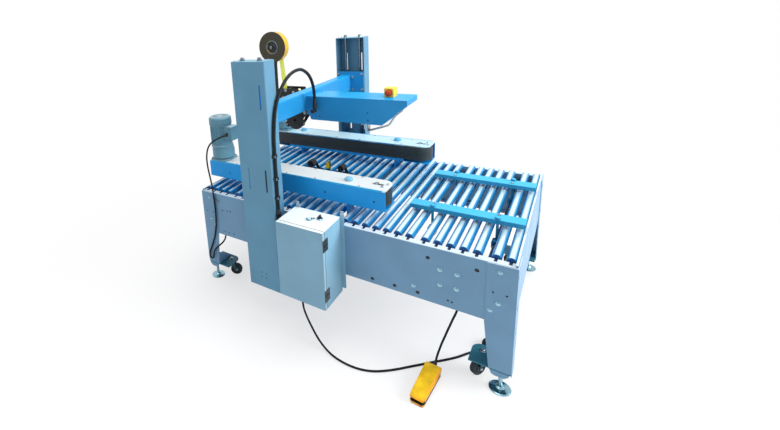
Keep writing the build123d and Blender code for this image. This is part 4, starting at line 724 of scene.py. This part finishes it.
DRIVE_TOP, MOTOR_X = 784, -790
for side, s in SIDES:
    body = side + "_drive"
    screws = [((x, s * 431, DRIVE_TOP), UP) for x in (-640, -460, -280, -100, 150)]
    screws += [((x, s * 312, DRIVE_TOP), UP) for x in (-560, -330, -160, 120)]
    bolts(side + "_plate_screws", "steel", body, 4.2, 2.6, screws, hexagon=False)
    bolts(side + "_tension_bolts", "steel", body, 5.5, 5.0,
          [((269, s * 352, DRIVE_TOP), UP), ((254, s * 392, DRIVE_TOP), UP)])
    bolts(side + "_cover_screws", "dark", body, 3.4, 2.2,
          [((x, s * 442, 719), (0, s, 0)) for x in (230, -38, -400, -700)], hexagon=False)
    bricks(side + "_plate_edge", "edge", body,
           [(-846, 270, s * 437.5, s * 443.8, 776.5, 784.9)], 0.8)
    bricks(side + "_edge_marks", "edge", body,
           [(x - 55, x + 55, s * 299.2, s * 303, 778.4, 782.6) for x in (-640, -420, -200, 20)],
           0.6)

    # gearmotor: fins except where the terminal box sits, louvres, lid and gland
    motor_y = s * 383
    bm = bmesh.new()
    spokes(bm, [(65.4, -0.9), (69.6, -0.6), (69.6, 0.6), (65.4, 0.9)], MOTOR_X, motor_y, 893, 28,
           118, max_cos=0.72)
    to_object(side + "_motor_fins", bm, "motor", body)
    bm = bmesh.new()
    spokes(bm, [(20, -1.6), (52, -3.2), (54, 0), (52, 3.2), (20, 1.6)], MOTOR_X, motor_y, 1068.6,
           18, 0.6)
    spokes(bm, [(71.2, -5), (72.4, -5), (72.4, 5), (71.2, 5)], MOTOR_X, motor_y, 1026, 24, 3.0)
    to_object(side + "_fan_louvres", bm, "dark", body)
    bricks(side + "_terminal_lid", "motor", body, [(-746, -684, s * 418, s * 421.4, 924, 1008)],
           1.2)
    bolts(side + "_lid_screws", "dark", body, 2.6, 2.0,
          [((x, s * 421.4, z), (0, s, 0)) for x in (-740, -690) for z in (930, 1002)],
          hexagon=False)
    bolts(side + "_flange_bolts", "steel", body, 5.5, 5.0,
          [((MOTOR_X + dx, s * 377 + dy, 794), UP) for dx in (-54, 54) for dy in (-54, 54)])
    sealed = [(0, 12.6), (8.4, 12.6), (7.6, 15), (0, 15)]
    boot = [(5.2, 12.6), (9.2, 12.6), (8.6, 20), (7.2, 34), (5.7, 41), (5.1, 41)]
    gland_at = (-712, s * 417, 962)
    turned(side + "_motor_gland", "black", body,
           ([(0, 0), (9.6, 0), (9.6, 3), (12.6, 3.4), (12.6, 11), (10.6, 12.6), (5.2, 12.8)],
            gland_at, (0, s, 0), 6),
           (boot if side == "near" else sealed, gland_at, (0, s, 0), 24))

# cable tie on the motor lead, with its tail
bm = bmesh.new()
lathe(bm, [(5.1, -2), (6.3, -2), (6.3, 2), (5.1, 2)], (-744, -567, 582), UP, 24)
brick(bm, -739, -733, -572.5, -568.5, 579.5, 584.5)
slab(bm, [(0, 0), (13, -2), (26, -7), (34, -14), (33, -16), (25, -9), (12, -4), (0, -2.4)],
     Matrix.Translation((-733, -568, 583)) @ FACING_Y, -3.2)
to_object("lead_tie", bm, "black", "frame")

# ------------------------------------------------------------------ guide rails
for side, s in SIDES:
    bolts(side + "_rail_bolts", "steel", side + "_rail", 5.0, 4.0,
          [((x, s * 212, 668.5), UP) for x in (735, 456)])

# ------------------------------------------------------------------ control box
turned("button_bezels", "chrome", "frame",
       ([(10.2, 0), (15.8, 0), (15.8, 1.2), (14, 2.6), (10.2, 2.6)], (-19, -653, 661), UP, 36),
       ([(4.4, 0), (15.8, 0), (15.8, 1.2), (13, 2.4), (4.4, 2.4)], (24, -624, 661), UP, 36))
turned("pilot_lamp", "dark", "frame",
       ([(0, 0), (5, 0), (5, 1.8), (3.4, 3.4), (0, 3.8)], (-6, -632, 657), UP, 24))
bricks("door_gasket", "dark", "frame",
       [(x0, x1, -731.2, -729.6, z0, z1) for x0, x1, z0, z1 in
        ((-159, -151, 241, 655), (93, 101, 241, 655), (-151, 93, 241, 249), (-151, 93, 647, 655))])
# a lighter strip on the door's right side face: a painted highlight
bricks("door_edge_highlight", "pale", "door",
       [(102.0, 102.7, -749.4, -731.4, z0, z1) for z0, z1 in ((240, 284), (344, 556), (616, 655))],
       0.2)
bricks("door_seam", "dark", "frame", [(-159.5, 101.5, -729.2, -727.4, 656.8, 657.7),
                                      (101.8, 102.5, -729.2, -727.6, 240, 655)])
# the box's bottom lip takes the same pale colour: a painted highlight
bricks("box_bottom_lip", "pale", "frame", [(101.8, 103.0, -727, -562, 238.2, 243.5)], 0.3)
bricks("latch_plates", "latch", "frame",
       [(102.8, 105.6, -751, -702, z - 31, z + 31) for z in (314, 586)], 1.0)
bolts("ear_bolts", "steel", "frame", 5.0, 4.0, [((x, -558, 676), TO_NEAR) for x in (-142, 112)])
RELIEF_AT = (-60, -695, 237.6)
turned("mains_strain_relief", "rubber", "frame",
       ([(11.2, 0), (15, 0.4), (15, 11), (13, 12.5), (11.2, 12.5)], RELIEF_AT, DOWN, 6),
       ([(5.4, 15.6), (10.6, 15.6), (9.4, 26), (7.4, 40), (6.0, 47), (5.4, 47)], RELIEF_AT, DOWN,
        28))

# what the open door shows: switchgear and terminals on their rails, between trunking
GEAR_Y = -588       # front of the rails
bricks("din_rails", "chrome", "frame",
       [(-130, 72, GEAR_Y, -581, z, z + 35) for z in (452, 322)], 1.0)
gear = []
for x in (-118, -66, -14):
    gear += [(x, x + 44, -655, GEAR_Y, 432, 508), (x + 6, x + 38, -668, -655, 448, 492)]
gear.append((34, 66, -650, GEAR_Y, 428, 512))
bricks("contactors", "black", "frame", gear, 2.0)
bricks("terminal_row", "green", "frame",
       [(11 * k - 120, 11 * k - 111, -628, GEAR_Y, 318, 362) for k in range(16)], 1.0)
bricks("wire_trunking", "grey", "frame",
       [(-138, 80, -625, -582, z, z + 24) for z in (388, 540, 262)], 1.5)

# ------------------------------------------------------------------ castors
for corner, (cx, cy, heading) in CASTORS.items():
    spin = Matrix.Translation((cx, cy, 0)) @ Matrix.Rotation(radians(heading - 180), 4, "Z")
    across = spin.to_3x3() @ Vector(TO_FAR)
    axle = spin @ Vector((-28, 0, 38.3))
    turned(corner + "_axle_nuts", "steel", corner + "_castor",
           *(([(0, 0), (8, 0), (8, 2), (5, 5.5), (0, 5.5)], axle + across * s * 17.6, across * s, 6)
             for s in BOTH))
    turned(corner + "_swivel_ring", "chrome", corner + "_castor",
           ([(23, 0), (26.5, 0), (26.5, 3), (23, 3)], (cx, cy, 89.5), UP, 32))
    turned(corner + "_wheel_hub", "steel", corner + "_wheel",
           *(([(6, 0), (12.5, 0), (12.5, 1.0), (6, 1.6)], axle + across * s * 12.0, across * s, 24)
             for s in BOTH))

# ------------------------------------------------------------------ foot switch
# drawn on the tread's own axes: along it from heel to toe, across it, and up
heel, toe = Vector((560, -590, 0)), Vector((546, -810, 0))
along = (toe - heel).normalized()
across = Vector((-along.y, along.x, 0))
tread = Matrix(((along.x, across.x, 0, heel.x), (along.y, across.y, 0, heel.y), (0, 0, 1, 0),
                (0, 0, 0, 1)))
bm = bmesh.new()
for k in range(12):
    a = 46 + 12.5 * k
    half = 32.2 - 4.0 * a / 220
    z = 49 - 9 * (a - 30) / 174
    for s in BOTH:
        low, high = sorted((s * (half - 7.5), s * (half - 0.8)))
        slab(bm, [(a, low), (a + 5.5, low), (a + 5.5, high), (a, high)],
             tread @ at_height(z - 0.6), 1.9)
to_object("pedal_grips", bm, "pedal", "pedal", 0.6)
bm = bmesh.new()
for s in BOTH:
    slab(bm, [(40, s * 32.0), (204, s * 29.1), (204, s * 30.5), (40, s * 33.4)],
         tread @ at_height(17), 12.5)
slab(bm, [(217.5, -26.5), (218.3, -26.5), (218.3, 26.5), (217.5, 26.5)], tread @ at_height(24.4),
     7)
to_object("pedal_skirt", bm, "pedal", "pedal")
inner = [(205, 28.9), (208.6, 28.8), (214.3, 27.4), (217.6, 24.6), (219.9, 20.5), (220.41, 16.5)]
outer = [(205, 29.6), (208.6, 29.5), (214.9, 28.4), (218.0, 25.6), (220.15, 20.5), (220.46, 16.5)]
bm = bmesh.new()
slab(bm, outer + [(u, -v) for u, v in outer[::-1] + inner] + inner[::-1], tread @ at_height(1.5),
     8.3)
to_object("switch_toe_band", bm, "pedal", "frame")
turned("switch_feet", "rubber", "frame",
       *(([(0, 0.05), (8.5, 0.05), (9, 1), (9, 3.2), (0, 3.2)], tread @ Vector((u, v, 0)), UP, 20)
         for u, v in ((10, -20), (10, 20), (205, -17), (205, 17))))
bolts("pedal_pins", "steel", "frame", 2.6, 1.4,
      [(tread @ Vector((17, s * 31.2, 24)), across * s) for s in BOTH], hexagon=False)

# ------------------------------------------------------------------ floor and light, in metres
# The camera sees the floor fade into the white background, and its shadows stay near the machine.
REACH, DROP = 9, -0.0005
floor_mesh = bpy.data.meshes.new("floor")
floor_mesh.from_pydata([(-REACH, -REACH, DROP), (REACH, -REACH, DROP), (REACH, REACH, DROP),
                        (-REACH, REACH, DROP)], [], [(0, 1, 2, 3)])
floor = bpy.data.objects.new("floor", floor_mesh)
scene.collection.objects.link(floor)
floor_mat = bpy.data.materials.new("floor")
floor_mat.use_nodes = True
tree = floor_mat.node_tree
add, link = tree.nodes.new, tree.links.new
pale = tree.nodes["Principled BSDF"]
pale.inputs["Base Color"].default_value = (0.90, 0.90, 0.91, 1)
pale.inputs["Roughness"].default_value = 0.85
pale.inputs["Specular IOR Level"].default_value = 0.1
glow = add("ShaderNodeEmission")
glow.inputs["Strength"].default_value = 1.0
distance = add("ShaderNodeVectorMath")
distance.operation = "LENGTH"
link(add("ShaderNodeTexCoord").outputs["Object"], distance.inputs[0])
fade = remap(tree, distance.outputs["Value"], 0.9, 3.0, 0.60, 1.0, "SMOOTHSTEP")
share = add("ShaderNodeMixShader")
link(math_node(tree, "MULTIPLY", add("ShaderNodeLightPath").outputs["Is Camera Ray"], fade),
     share.inputs["Fac"])
link(pale.outputs[0], share.inputs[1])
link(glow.outputs[0], share.inputs[2])
link(share.outputs[0], tree.nodes["Material Output"].inputs["Surface"])
floor_mesh.materials.append(floor_mat)

# white for the rays that show the background, and dimmer where the world lights the object
WORLD_LIGHT = 0.68
world = bpy.data.worlds.new("studio")
scene.world = world
world.use_nodes = True
tree = world.node_tree
ray = tree.nodes.new("ShaderNodeLightPath").outputs
showing = math_node(tree, "MAXIMUM", ray["Is Camera Ray"], ray["Is Glossy Ray"])
showing = math_node(tree, "MAXIMUM", showing, ray["Is Transmission Ray"])
background = tree.nodes["Background"]
background.inputs["Color"].default_value = (1, 1, 1, 1)
tree.links.new(remap(tree, showing, 0, 1, WORLD_LIGHT, 1.0), background.inputs["Strength"])


def lamp(name, at, aim, size, watts):
    """Round area lamp that looks at a point."""
    data = bpy.data.lights.new(name, "AREA")
    data.shape, data.size, data.energy = "DISK", size, watts
    ob = bpy.data.objects.new(name, data)
    scene.collection.objects.link(ob)
    ob.location = at
    ob.rotation_euler = (Vector(aim) - Vector(at)).to_track_quat("-Z", "Y").to_euler()


lamp("overhead", (0.3, 0.4, 4.2), (0, 0, 0.6), 3.0, 95)
lamp("right_fill", (4.2, 0.6, 2.2), (0, 0, 0.8), 2.4, 185)
lamp("front_fill", (-1.6, -4.6, 2.4), (0, 0, 0.6), 2.6, 20)
